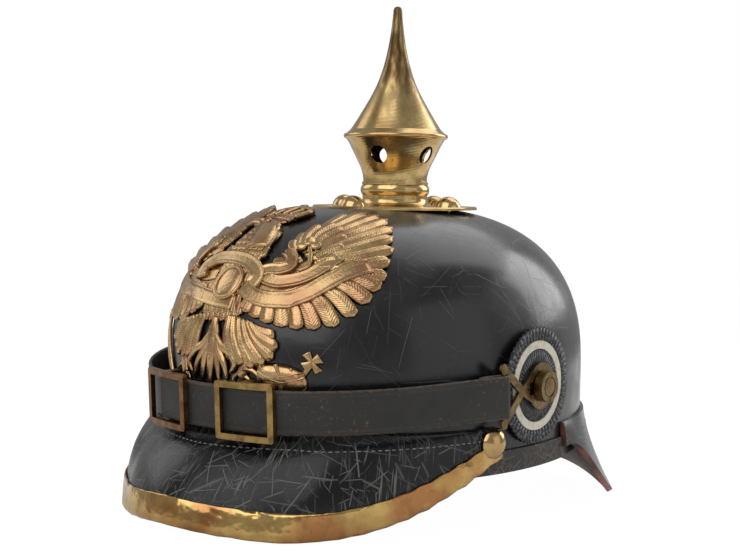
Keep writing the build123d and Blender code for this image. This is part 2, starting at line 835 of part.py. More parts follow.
def spine_line(offset):
    # The spine's line in the middle plane: over the dome, the flange step and the rear visor
    section = guard_sections()[len(guard_azimuths) - 1]
    start_y = plate_radius + free_gap
    length = shell_half_length + offset
    height = dome_height + offset
    dome = []
    for step in range(dome_steps + 1):
        z_share = step / dome_steps
        y = start_y + (shell_centre_y + length - start_y) * (1 - (1 - z_share) ** 2)
        dome.append((0, y, form_z(0, min(y, shell_centre_y + length), offset, height)))
    dome[-1] = (0, shell_centre_y + length, dome_spring_z)
    poles = [place_in_section(section, p) for p in visor_poles(section, offset)]
    step_top = (0, shell_centre_y + length, poles[0][2] + spine_lap)
    return dome, step_top, poles


def make_spine():
    low_dome, low_step, low_poles = spine_line(spine_gap)
    high_dome, high_step, high_poles = spine_line(spine_gap + spine_thickness)
    slope = guard_sections()[len(guard_azimuths) - 1]["slope"]
    hem = []
    for poles, beyond in ((high_poles, spine_gap + spine_thickness), (low_poles, spine_gap)):
        end = poles[3]
        hem.append((0, end[1] + beyond * slope[0], end[2] + beyond * slope[1]))
    section = guard_sections()[len(guard_azimuths) - 1]
    under = []
    for offset in (spine_gap + spine_thickness, spine_gap):
        inner = visor_poles(section, -guard_leather - offset)
        t = length_along(inner, spine_hem)
        beyond = offset
        tip = place_in_section(section, (inner[3][0] + beyond * slope[0], inner[3][1] + beyond * slope[1]))
        under.append((tip, place_in_section(section, bezier_point(inner, t))))
    edges = [
        Spline(*high_dome, tangents=[(0, 1, 0), (0, 0, -1)], tangent_scalars=[1, 1]),
        Polyline(high_dome[-1], high_step, high_poles[0]),
        Bezier(*high_poles),
        Polyline(high_poles[3], hem[0], under[0][0], under[0][1], under[1][1], under[1][0], hem[1], low_poles[3]),
        Bezier(*reversed(low_poles)),
        Polyline(low_poles[0], low_step, low_dome[-1]),
        Spline(*reversed(low_dome), tangents=[(0, 0, 1), (0, -1, 0)], tangent_scalars=[1, 1]),
        Line(low_dome[0], high_dome[0]),
    ]
    spine = extrude(make_face(edges), spine_width / 2, both=True)
    for z, y in spine_stud_places():
        spine -= Pos(0, y, z) * Rot(90, 0, 0) * Cylinder(rivet_radius + seat_gap, overrun)
    return spine


def spine_stud_places():
    # Heights of the two spine studs, with the place of the spine's face there
    section = guard_sections()[len(guard_azimuths) - 1]
    flange_y = place_in_section(section, (section["ends"][0], 0))[1]
    wall_y = shell_centre_y + shell_half_length
    upper = (dome_spring_z, wall_y)
    lower = (section["ends"][1] - rivet_head_radius, flange_y)
    return [upper, lower]


def make_spine_stud(index):
    z, seat_y = spine_stud_places()[index]
    seat_y += spine_gap + spine_thickness + fit
    inner_y = shell_centre_y + shell_half_length - leather - seat_gap
    length = seat_y - inner_y + rivet_head_height
    stud = Rot(-90, 0, 0) * dome_cap(spine_stud_radius, spine_stud_height)
    stud += Pos(0, -length / 2, 0) * Rot(90, 0, 0) * Cylinder(rivet_radius, length)
    head = Pos(0, -length + rivet_head_height / 2, 0) * Rot(90, 0, 0)
    stud += head * Cylinder(rivet_head_radius, rivet_head_height)
    return Pos(0, seat_y, z) * stud


def badge_plane():
    lean = math.radians(badge_lean)
    return Plane(origin=(0, 0, 0), x_dir=(1, 0, 0), z_dir=(0, -math.cos(lean), math.sin(lean)))


def badge_point(share):
    # From shares of the plate's half width and height to its drawing plane
    return (share[0] * badge_half_width, badge_top_q - share[1] * badge_height)


def badge_patch(shares, mirrored):
    # Closed outline on the plate's drawing plane, with its other side added on request
    patch = make_face(Polyline(*[badge_point(s) for s in shares], close=True))
    if mirrored:
        patch += make_face(Polyline(*[badge_point((-s[0], s[1])) for s in reversed(shares)], close=True))
    return patch


wing_shares = (
    (0.0, 0.42), (0.2, 0.36), (0.25, 0.33), (0.27, 0.19), (0.35, 0.12), (0.355, 0.03), (0.43, 0.0),
    (0.565, 0.005), (0.715, 0.035), (0.82, 0.105), (0.9, 0.18), (0.925, 0.24), (0.905, 0.29),
    (0.965, 0.345), (0.94, 0.4), (0.955, 0.455), (0.9, 0.475), (0.91, 0.54), (0.86, 0.55),
    (0.86, 0.61), (0.8, 0.61), (0.78, 0.665), (0.71, 0.65), (0.66, 0.7), (0.6, 0.68), (0.53, 0.72),
    (0.47, 0.7), (0.4, 0.725), (0.34, 0.7), (0.25, 0.715), (0.2, 0.69), (0.0, 0.7),
)
body_shares = (
    (0.0, 0.28), (0.12, 0.31), (0.2, 0.42), (0.25, 0.52), (0.23, 0.62), (0.16, 0.71), (0.06, 0.77), (0.0, 0.78),
)
head_shares = (
    (0.13, 0.36), (0.1, 0.2), (0.08, 0.12), (0.12, 0.02), (-0.04, -0.02), (-0.2, 0.03), (-0.17, 0.12),
    (-0.33, 0.17), (-0.3, 0.23), (-0.18, 0.26), (-0.14, 0.36),
)
tail_shares = (
    (0.0, 0.7), (0.13, 0.74), (0.12, 0.83), (0.27, 0.8), (0.3, 0.88), (0.18, 0.93), (0.12, 1.0), (0.0, 1.0),
)
thigh_shares = (
    (0.16, 0.68), (0.34, 0.72), (0.46, 0.78), (0.44, 0.84), (0.54, 0.87), (0.52, 0.93), (0.4, 0.91),
    (0.32, 0.93), (0.3, 0.85), (0.2, 0.8),
)
orb_shares = (
    (0.4, 0.86), (0.58, 0.84), (0.7, 0.78), (0.78, 0.8), (0.74, 0.86), (0.62, 0.9), (0.56, 0.95), (0.42, 0.95),
)
sceptre_shares = (
    (-0.42, 0.9), (-0.5, 0.92), (-0.86, 0.78), (-1.0, 0.7), (-0.98, 0.66), (-0.84, 0.7), (-0.44, 0.84),
)
ribbon_shares = (
    (0.1, 0.6), (0.44, 0.62), (0.72, 0.42), (0.85, 0.33), (0.9, 0.43), (0.76, 0.52), (0.46, 0.7), (0.1, 0.67),
)


def badge_band(outer):
    # Front half of the form's skin, from the back of the plate to an offset
    lines = []
    for offset in (badge_gap, outer):
        lines.append((offset, dome_height + offset, reach_angle(collar_radius, offset)))
    return to_oval(Rot(0, 0, 180) * round_band(*lines, shell_edge_z, 0, 180))


def make_badge():
    # Stamped eagle plate: one sheet with raised wings, body, ribbon and attributes
    sheet = badge_patch(wing_shares, True) + badge_patch(tail_shares, True) + badge_patch(thigh_shares, True)
    sheet += badge_patch(head_shares, False) + badge_patch(body_shares, True)
    sheet += badge_patch(orb_shares, False) + badge_patch(sceptre_shares, False)
    relief = badge_patch(body_shares, True) + badge_patch(head_shares, False)
    relief += badge_patch(ribbon_shares, True)
    depth = 2 * shell_half_length
    plane = badge_plane()
    plate = extrude(plane * (sheet - relief), depth) & badge_band(badge_gap + badge_sheet)
    raised = extrude(plane * relief, depth) & badge_band(badge_gap + badge_sheet + badge_relief)
    return plate + raised


def loop_place(x):
    # Where a soldered loop of the plate passes through the shell, square to its wall in plan
    share = form_share(loop_z, dome_height)
    depth = math.sqrt(share**2 - (x / shell_half_width) ** 2)
    y = shell_centre_y - shell_half_length * depth
    inwards = (-x / width_share**2, shell_centre_y - y)
    return Plane(origin=(x, y, loop_z), x_dir=(inwards[1], -inwards[0], 0), z_dir=(*inwards, 0))


def loop_slot(x):
    half = loop_half_height + loop_wire_radius + loop_slot_clearance
    width = 2 * (loop_wire_radius + loop_slot_clearance)
    slot = Box(width, 2 * half, 2 * overrun)
    return loop_place(x) * slot


def wall_depth(x, z, offset, rise):
    # Distance along a loop from its place to the form's surface at a height
    plane = loop_place(x)
    limit = (shell_half_length + offset) * form_share(z, rise)
    near, far = -loop_depth, 2 * loop_depth
    for _ in range(40):
        middle = (near + far) / 2
        place = plane.origin + plane.z_dir * middle
        if math.hypot(place.X / width_share, place.Y - shell_centre_y) > limit:
            near = middle
        else:
            far = middle
    return far


def loop_bow_depth(x):
    return wall_depth(x, loop_z, -leather, inner_height) + loop_depth


def make_loop(x):
    # Brass loop soldered to the back of the eagle plate
    bow_depth = loop_bow_depth(x)
    loop = Box(2 * loop_wire_radius, 2 * (loop_half_height + loop_wire_radius), 2 * loop_wire_radius)
    loop = Pos(0, 0, bow_depth) * loop
    for side in (-1, 1):
        level = loop_z - side * loop_half_height + loop_wire_radius
        front = wall_depth(x, level, badge_gap, dome_height + badge_gap) + seat_gap
        leg = Cylinder(loop_wire_radius, bow_depth - front)
        loop += Pos(0, side * loop_half_height, (bow_depth + front) / 2) * leg
    return loop_place(x) * loop


def make_wedge(x):
    # Leather wedge pushed through the loop inside the shell
    gap = free_gap + wedge_thickness / 2
    lean = math.atan2(wedge_thickness, wedge_length)
    taper = 1 - math.sin(lean)
    profile = Polyline(
        (-wedge_length / 2, -wedge_thickness / 2),
        (wedge_length / 2, -wedge_thickness / 2 * taper),
        (wedge_length / 2, wedge_thickness / 2 * taper),
        (-wedge_length / 2, wedge_thickness / 2),
        close=True,
    )
    body = extrude(make_face(profile), wedge_width / 2, both=True)
    depth = loop_bow_depth(x) - loop_wire_radius - gap
    return loop_place(x) * Pos(0, 0, depth) * Rot(90, 0, 0) * body


def make_sweatband():
    outer = -leather - sweatband_gap
    return Pos(0, 0, sweatband_lift) * wall_band(outer - sweatband_thickness, outer, sweatband_height)


def finger_profile(root, lean_turn):
    # Side view of a finger: a straight root on the sweatband, then an arc that leans inwards
    knee = (root[0], root[1] + finger_lap)
    centre = (knee[0] - finger_arc_radius, knee[1])
    arcs = []
    for side in (finger_thickness / 2, -finger_thickness / 2):
        radius = finger_arc_radius + side
        places = [(centre[0] + radius * math.cos(lean_turn * s), centre[1] + radius * math.sin(lean_turn * s)) for s in (0, 1 / 2, 1)]
        arcs.append([(0, -r, z) for r, z in places])
    roots = [(0, -(root[0] + side), root[1]) for side in (finger_thickness / 2, -finger_thickness / 2)]
    edges = [
        Line(roots[0], arcs[0][0]),
        ThreePointArc(*arcs[0]),
        Line(arcs[0][2], arcs[1][2]),
        ThreePointArc(*reversed(arcs[1])),
        Line(arcs[1][0], roots[1]),
        Line(roots[1], roots[0]),
    ]
    return make_face(edges), arcs[0][2][2] - root[1]


def make_finger(index):
    # Leather tongue that rises from the sweatband and leans in over the head
    turn = 2 * math.pi / finger_count * (index + 1 / 2)
    length = shell_half_length - leather - sweatband_gap - sweatband_thickness - seat_gap
    foot = (width_share * length * math.sin(turn), shell_centre_y - length * math.cos(turn), 0)
    facing = math.degrees(math.atan2(math.sin(turn) / width_share, math.cos(turn)))
    root = (finger_bend_radius - finger_thickness / 2, shell_edge_z + sweatband_lift + sweatband_height - finger_lap)
    profile, height = finger_profile(root, finger_length / finger_arc_radius)
    spread = 4 * math.degrees(finger_width / finger_bend_radius) / 2
    tongue = revolve(Rot(0, 0, -spread / 2) * profile, Axis.Z, revolution_arc=spread)
    half, tip_half = finger_width / 2, finger_tip_width / 2
    outline = make_face(
        Polyline(
            (-half, 0), (half, 0), (half, finger_lap), (tip_half, height),
            (-tip_half, height), (-half, finger_lap), close=True,
        )
    )
    outline -= Pos(0, height - 3 * finger_hole_radius) * Circle(finger_hole_radius)
    stencil = Plane(origin=(0, 0, root[1]), x_dir=(1, 0, 0), z_dir=(0, -1, 0)) * extrude(outline, shell_half_length)
    tongue = Pos(0, finger_bend_radius, 0) * (tongue & stencil)
    return Pos(*foot) * Rot(0, 0, facing) * tongue


def lowest_height(points, tilt):
    # Lowest point after the helmet is tipped forward by a tilt in degrees
    angle = math.radians(tilt)
    return min(y * math.sin(angle) + z * math.cos(angle) for _, y, z in points)


def stance_tilt():
    # Tilt at which the trim and the rear visor touch the ground together
    front = [v for section in visor_sections() for v in [place_in_section(section, trim_corner(section))]]
    rear = [place_in_section(s, p) for s in guard_sections() for p in (s["ends"][2:], guard_corner(s))]
    low, high = 0, 20
    for _ in range(40):
        middle = (low + high) / 2
        if lowest_height(front, middle) > lowest_height(rear, middle):
            low = middle
        else:
            high = middle
    return low


def trim_corner(section):
    # Outermost low corner of the trim in a section
    skin = trim_gap + trim_thickness
    slope = section["slope"]
    inner = visor_poles(section, -section["thickness"] - skin)[3]
    return (inner[0] + skin * slope[0], inner[1] + skin * slope[1])


def guard_corner(section):
    return visor_poles(section, -section["thickness"])[3]


def make_parts():
    parts = {
        "leather_shell": make_shell(),
        "front_visor": make_front_visor(),
        "front_visor_trim": make_trim(),
        "rear_visor": make_rear_visor(),
        "rear_spine": make_spine(),
        "spine_stud_upper": make_spine_stud(0),
        "spine_stud_lower": make_spine_stud(1),
        "spike_base_plate": make_base_plate(),
        "spike_neck": make_spike_neck(),
        "spike_cone": make_spike_cone(),
        "eagle_plate": make_badge(),
        "sweatband": make_sweatband(),
    }
    for name, (x, y) in zip(("front", "left", "rear", "right"), stud_places()):
        parts["base_stud_" + name] = make_base_stud(x, y)
        parts["stud_washer_" + name] = make_stud_washer(x, y)
    for index in range(finger_count):
        parts[f"liner_finger_{index + 1}"] = make_finger(index)
    pairs = {
        "cockade": make_cockade(),
        "side_post": make_side_post(),
        "post_washer": make_post_washer(),
        "post_nut": make_post_nut(),
        "trim_stud": make_trim_stud(),
        "side_edge_strip": make_side_strip(),
        "strap_hook": place_strap(make_hook()),
        "buckle": place_strap(make_buckle()),
    }
    for name, solid in pairs.items():
        parts[name + "_left"] = solid
        parts[name + "_right"] = mirror(solid, Plane.YZ)
    for side, x in (("left", loop_x), ("right", -loop_x)):
        parts["plate_loop_" + side] = make_loop(x)
        parts["plate_wedge_" + side] = make_wedge(x)
    inset = strap_leather + strap_gap
    parts["chin_strap_left"] = place_strap(strap_leather_solid(0, -left_leather_end))
    parts["chin_strap_right"] = place_strap(mirror(strap_leather_solid(inset, -right_leather_end), Plane.YZ))
    return parts


def stand_up(parts):
    # Tip the helmet onto both visors, with the origin below the middle of its box
    tilt = Rot(stance_tilt(), 0, 0)
    turned = {name: tilt * solid for name, solid in parts.items()}
    box = Compound(children=[Part(s.wrapped) for s in turned.values()]).bounding_box()
    shift = Pos(-box.center().X, -box.center().Y, -box.min.Z)
    return {name: shift * solid for name, solid in turned.items()}, shift * tilt


if __name__ == "__main__":
    os.makedirs("parts", exist_ok=True)
    standing, stance = stand_up(make_parts())
    for name, solid in standing.items():
        export_step(solid, f"parts/{name}.step")
    hinge = (stance * Pos(0, post_y, post_z)).position
    strap_frame = stance * Pos(0, post_y, post_z) * Rot(strap_droop, 0, 0)
    slide_centre = (strap_frame * Pos(0, strap_front_radius - strap_reach, 0)).position
    slide_axis = (strap_frame * Pos(0, 0, 1)).position - strap_frame.position
    print("stance tilt", round(stance_tilt(), 4), "spike base", tuple((stance * Pos(0, 0, 0)).position))
    print("strap hinge", tuple(hinge), "buckle centre", tuple(slide_centre), "buckle axis", tuple(slide_axis))
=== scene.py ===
import json
import math

import bmesh
import bpy
from mathutils import Matrix, Vector
from mathutils.bvhtree import BVHTree


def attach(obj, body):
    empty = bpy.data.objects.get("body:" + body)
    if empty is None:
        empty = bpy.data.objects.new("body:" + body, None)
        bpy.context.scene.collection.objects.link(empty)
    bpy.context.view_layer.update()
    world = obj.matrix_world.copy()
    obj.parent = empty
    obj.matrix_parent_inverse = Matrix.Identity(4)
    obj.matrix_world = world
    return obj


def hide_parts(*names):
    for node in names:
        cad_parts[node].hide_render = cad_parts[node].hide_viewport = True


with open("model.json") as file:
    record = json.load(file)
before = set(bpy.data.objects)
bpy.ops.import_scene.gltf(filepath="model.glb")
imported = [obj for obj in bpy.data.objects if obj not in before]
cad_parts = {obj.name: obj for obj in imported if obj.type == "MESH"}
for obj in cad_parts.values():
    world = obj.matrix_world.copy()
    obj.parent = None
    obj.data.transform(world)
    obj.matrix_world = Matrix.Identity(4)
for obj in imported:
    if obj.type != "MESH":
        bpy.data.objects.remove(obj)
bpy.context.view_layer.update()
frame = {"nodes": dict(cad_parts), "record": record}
nodes = frame["nodes"]
scene = bpy.context.scene
perMetre = 1000  # millimetres
print("packed helmet loaded:", len(nodes), "nodes")

# The helmet was drawn level, then tipped until it stands on both visors
stance = {"tiltDegrees": 3.7492, "baseY": -3.4713816, "baseZ": 129.314907}


def place(x, y, z):  # drawing millimetres to the row frame's metres
    tilt = math.radians(stance["tiltDegrees"])
    rowY = stance["baseY"] + y * math.cos(tilt) - z * math.sin(tilt)
    rowZ = stance["baseZ"] + y * math.sin(tilt) + z * math.cos(tilt)
    return Vector((x, rowY, rowZ)) / perMetre


def placeTurn(x, y, z):  # the same for a direction
    return (place(x, y, z) - place(0, 0, 0)).normalized()


def linearColour(code):  # sRGB hex to the linear colour that Blender stores
    channels = [int(code[i:i + 2], 16) / 255 for i in (1, 3, 5)]
    return tuple(c / 12.92 if c <= 0.04045 else ((c + 0.055) / 1.055) ** 2.4 for c in channels) + (1.0,)


def setSockets(tree, node, inputs):  # a node links its first output, (node, output) another, the rest are values
    for socket, value in inputs.items():
        source = value if isinstance(value, tuple) else (value, 0)
        if isinstance(source[0], bpy.types.Node):
            tree.links.new(source[0].outputs[source[1]], node.inputs[socket])
        else:
            node.inputs[socket].default_value = value


def addNode(tree, kind, settings=None, inputs=None):
    node = tree.nodes.new(kind)
    for name, value in (settings or {}).items():
        setattr(node, name, value)
    setSockets(tree, node, inputs or {})
    return node


def emptyTree(owner):  # a material's or world's nodes, cleared
    owner.use_nodes = True
    owner.node_tree.nodes.clear()
    return owner.node_tree


def startMaterial(name):
    material = bpy.data.materials.new(name)
    tree = emptyTree(material)
    skin = addNode(tree, "ShaderNodeBsdfPrincipled")
    addNode(tree, "ShaderNodeOutputMaterial", None, {"Surface": skin})
    return material, tree, skin


def patternSpace(tree, sizes, turn=(0, 0, 0)):  # one unit of the pattern is its size in millimetres
    coords = addNode(tree, "ShaderNodeTexCoord")
    return addNode(tree, "ShaderNodeMapping", {"vector_type": "TEXTURE"}, {
        "Vector": (coords, "Object"),
        "Rotation": [math.radians(t) for t in turn],
        "Scale": [s / perMetre for s in sizes],
    })


def blotches(tree, size, low, high, detail=3.0, turn=(0, 0, 0)):  # soft patches, 0 to 1
    space = patternSpace(tree, size if isinstance(size, tuple) else (size,) * 3, turn)
    field = addNode(tree, "ShaderNodeTexNoise", None, {"Vector": space, "Scale": 1.0, "Detail": detail})
    return addNode(tree, "ShaderNodeMapRange", None, {0: field, 1: low, 2: high})


def combine(tree, operation, *terms):  # chains a math operation over links and numbers
    total = terms[0]
    for term in terms[1:]:
        total = addNode(tree, "ShaderNodeMath", {"operation": operation}, {0: total, 1: term})
    return total


def surfaceSpace(tree, layer, sizes, turn=0.0):  # millimetres along and down a piece's own surface
    spot = addNode(tree, "ShaderNodeAttribute", {"attribute_name": layer})
    return addNode(tree, "ShaderNodeMapping", {"vector_type": "TEXTURE"}, {
        "Vector": (spot, "Vector"), "Rotation": (0, 0, math.radians(turn)), "Scale": (*sizes, 1.0)})


scratchLook = {"core": 0.25, "fade": 0.65, "wholeTo": 0.48, "goneAt": 0.7}  # shares of a mark's width, and of its cell


def scratches(tree, space, width):  # straight marks, one to a cell, each with its own direction
    cell = addNode(tree, "ShaderNodeTexVoronoi", None, {"Vector": space, "Scale": 1.0})
    away = addNode(tree, "ShaderNodeVectorMath", {"operation": "SUBTRACT"}, {0: space, 1: (cell, "Position")})
    aim = addNode(tree, "ShaderNodeVectorMath", {"operation": "SUBTRACT"}, {0: (cell, "Color"), 1: (0.5, 0.5, 0.5)})
    aim = addNode(tree, "ShaderNodeVectorMath", {"operation": "NORMALIZE"}, {0: aim})
    off = addNode(tree, "ShaderNodeVectorMath", {"operation": "DOT_PRODUCT"}, {0: away, 1: aim})
    off = addNode(tree, "ShaderNodeMath", {"operation": "ABSOLUTE"}, {0: (off, "Value")})
    core, fade = width * scratchLook["core"], width * scratchLook["fade"]
    line = addNode(tree, "ShaderNodeMapRange", None, {0: off, 1: core, 2: fade, 3: 1.0, 4: 0.0})
    reach = {1: scratchLook["wholeTo"], 2: scratchLook["goneAt"], 3: 1.0, 4: 0.0}
    ends = addNode(tree, "ShaderNodeMapRange", None, {0: (cell, "Distance"), **reach})
    strength = addNode(tree, "ShaderNodeSeparateColor", None, {0: (cell, "Color")})
    return combine(tree, "MULTIPLY", line, ends, (strength, 1))


wrinkleLook = {"turn": 9, "ridge": (0.56, 0.66), "patchSize": (26.0, 40.0), "patch": (0.46, 0.6), "detail": 1.5}


def wrinkles(tree, layer, width, length, share):  # hairlines that run down the piece, close together in patches
    space = surfaceSpace(tree, layer, (width, length), wrinkleLook["turn"])
    field = addNode(tree, "ShaderNodeTexNoise", None, {"Vector": space, "Scale": 1.0, "Detail": wrinkleLook["detail"]})
    low, high = wrinkleLook["ridge"]
    ridge = addNode(tree, "ShaderNodeMapRange", None, {0: field, 1: low, 2: high})
    wide = surfaceSpace(tree, layer, wrinkleLook["patchSize"])
    where = addNode(tree, "ShaderNodeTexNoise", None, {"Vector": wide, "Scale": 1.0})
    low, high = wrinkleLook["patch"]
    patch = addNode(tree, "ShaderNodeMapRange", None, {0: where, 1: low, 2: high})
    return combine(tree, "MULTIPLY", ridge, patch, share)


crazeLook = {"bendShare": 0.34, "bendScale": 1.6, "bendDetail": 4.0, "netScale": 1.5}


def crazing(tree, cell, lineShare):  # net of fine cracks, 1 on a crack
    space = patternSpace(tree, (cell, cell, cell))
    waves = {"Scale": crazeLook["bendScale"], "Detail": crazeLook["bendDetail"]}
    bend = addNode(tree, "ShaderNodeTexNoise", None, {"Vector": space, **waves})
    bent = addNode(tree, "ShaderNodeMix", {"data_type": "VECTOR"}, {0: crazeLook["bendShare"], 4: space, 5: (bend, 1)})
    net = addNode(tree, "ShaderNodeTexVoronoi", {"feature": "DISTANCE_TO_EDGE"},
                  {"Vector": (bent, 1), "Scale": crazeLook["netScale"]})
    return addNode(tree, "ShaderNodeMapRange", None, {0: (net, "Distance"), 1: 0.0, 2: lineShare, 3: 1.0, 4: 0.0})


def blend(tree, factor, first, second):  # colour mix, hex codes or links
    ends = [linearColour(c) if isinstance(c, str) else c for c in (first, second)]
    return (addNode(tree, "ShaderNodeMix", {"data_type": "RGBA"}, {0: factor, 6: ends[0], 7: ends[1]}), 2)


def raised(tree, skin, height, depth):  # bump from a height in units of a depth in millimetres
    relief = addNode(tree, "ShaderNodeBump", None, {"Strength": 1.0, "Distance": depth / perMetre, "Height": height})
    setSockets(tree, skin, {"Normal": relief})


# Calf leather, boiled, lacquered black and crazed by age: deep gloss under a net of grey hairlines
leatherLooks = {
    "lacqueredShellLeather": {
        "tone": "#0b0b0d", "dusty": "#1c1c1e", "line": "#6d6f72", "inside": "#4a3424",
        "crackCell": 10.0, "crackLine": 0.016, "crackPatch": (0.54, 0.66), "crackDepth": 0.04,
        "scratchLayers": ((9.0, 0.15), (14.0, 0.18), (21.0, 0.21), (32.0, 0.24), (48.0, 0.27)), "lineShare": 0.4,
        "roughness": (0.22, 0.38), "gloss": 0.5, "coat": 0.12, "grain": 0.9, "grainDepth": 0.012,
        "inwardsFrom": (0, -8, -40),
    },
    "crackedVisorLeather": {
        "tone": "#0c0d0f", "dusty": "#1d1e20", "line": "#96968f", "inside": "#2f3a2c",
        "crackCell": 7.0, "crackLine": 0.03, "crackPatch": (0.54, 0.7), "crackDepth": 0.12,
        "scratchLayers": ((6.0, 0.3), (9.0, 0.36), (13.0, 0.44), (18.0, 0.4), (11.0, 0.3)), "lineShare": 0.45,
        "surface": "visorPlace", "wrinkles": (0.7, 15.0, 1.1),
        "roughness": (0.26, 0.42), "gloss": 0.3, "coat": 0.05, "grain": 1.6, "grainDepth": 0.06,
        "inwardsFrom": (0, -8, -230),
    },
    "rearVisorLeather": {
        "tone": "#0e0e10", "dusty": "#242427", "line": "#77797d", "inside": "#94594b",
        "crackCell": 8.0, "crackLine": 0.02, "crackPatch": (0.5, 0.68), "crackDepth": 0.08,
        "scratchLayers": ((16.0, 0.3), (24.0, 0.34), (11.0, 0.28)), "lineShare": 0.42,
        "roughness": (0.25, 0.45), "gloss": 0.5, "coat": 0.2, "grain": 1.6, "grainDepth": 0.05,
        "inwardsFrom": (0, -8, -230),
    },
    "roughEdgeLeather": {
        "tone": "#2a2522", "dusty": "#55493f", "line": "#8d8378", "inside": "#2a2522",
        "crackCell": 3.6, "crackLine": 0.1, "crackPatch": (0.4, 0.6), "crackDepth": 0.25,
        "scratchLayers": ((6.0, 0.5), (9.0, 0.6)), "lineShare": 0.45,
        "roughness": (0.5, 0.75), "gloss": 0.5, "coat": 0.0, "grain": 1.2, "grainDepth": 0.15,
        "inwardsFrom": (0, -8, -40),
    },
}
# What all lacquered leather shares: (size in millimetres, low, high, detail) for each patch
lacquerWear = {
    "patchSpread": 3.4, "dust": (24.0, 0.42, 0.7, 5.0), "bloom": (2.2, 0.35, 0.75, 4.0), "grain": (0.2, 0.8, 2.0),
    "lineDulls": 0.3, "insideRoughness": 0.6, "insideWithin": 4.0, "ior": 1.5, "coatRoughness": 0.12,
}


def leatherFinish(name):
    look, wear = leatherLooks[name], lacquerWear
    material, tree, skin = startMaterial(name)
    cracks = crazing(tree, look["crackCell"], look["crackLine"])
    patch = blotches(tree, look["crackCell"] * wear["patchSpread"], *look["crackPatch"])
    lines = [combine(tree, "MULTIPLY", cracks, patch)]
    for i, (spacing, width) in enumerate(look["scratchLayers"]):
        if "surface" in look:
            space = surfaceSpace(tree, look["surface"], (spacing, spacing), 37 * i)
        else:
            space = patternSpace(tree, (spacing, spacing, spacing), (31 * i, 57 * i, 83 * i))
        lines.append(scratches(tree, space, width / spacing))
    if "wrinkles" in look:
        lines.append(wrinkles(tree, look["surface"], *look["wrinkles"]))
    marked = combine(tree, "MAXIMUM", *lines)
    dust = blotches(tree, *wear["dust"])
    bloom = blotches(tree, *wear["bloom"])
    tone = blend(tree, combine(tree, "MULTIPLY", dust, bloom), look["tone"], look["dusty"])
    shownLines = combine(tree, "MULTIPLY", marked, look["lineShare"])
    tone = blend(tree, shownLines, tone, look["line"])
    coords = addNode(tree, "ShaderNodeTexCoord")
    start = tuple(place(*look["inwardsFrom"]))
    away = addNode(tree, "ShaderNodeVectorMath", {"operation": "SUBTRACT"}, {0: (coords, "Object"), 1: start})
    facing = addNode(tree, "ShaderNodeVectorMath", {"operation": "DOT_PRODUCT"}, {0: away, 1: (coords, "Normal")})
    ends = {1: 0.0, 2: wear["insideWithin"] / perMetre, 3: 1.0, 4: 0.0}
    inwards = addNode(tree, "ShaderNodeMapRange", None, {0: (facing, "Value"), **ends})
    tone = blend(tree, inwards, tone, blend(tree, dust, look["inside"], look["tone"]))
    smooth, rough = look["roughness"]
    dull = addNode(
        tree, "ShaderNodeMath", {"operation": "MULTIPLY_ADD"}, {0: shownLines, 1: wear["lineDulls"], 2: smooth})
    film = addNode(tree, "ShaderNodeMapRange", None, {0: dust, 3: 0.0, 4: rough - smooth})
    dull = combine(tree, "ADD", dull, film)
    dull = combine(tree, "MAXIMUM", dull, combine(tree, "MULTIPLY", inwards, wear["insideRoughness"]))
    setSockets(tree, skin, {
        "Base Color": tone, "Roughness": dull, "IOR": wear["ior"], "Specular IOR Level": look["gloss"],
        "Coat Weight": look["coat"], "Coat Roughness": wear["coatRoughness"]})
    grainHeight = combine(tree, "MULTIPLY", blotches(tree, look["grain"], *wear["grain"]), look["grainDepth"])
    crackHeight = combine(tree, "MULTIPLY", marked, -look["crackDepth"])
    raised(tree, skin, combine(tree, "ADD", grainHeight, crackHeight), 1.0)
    return material


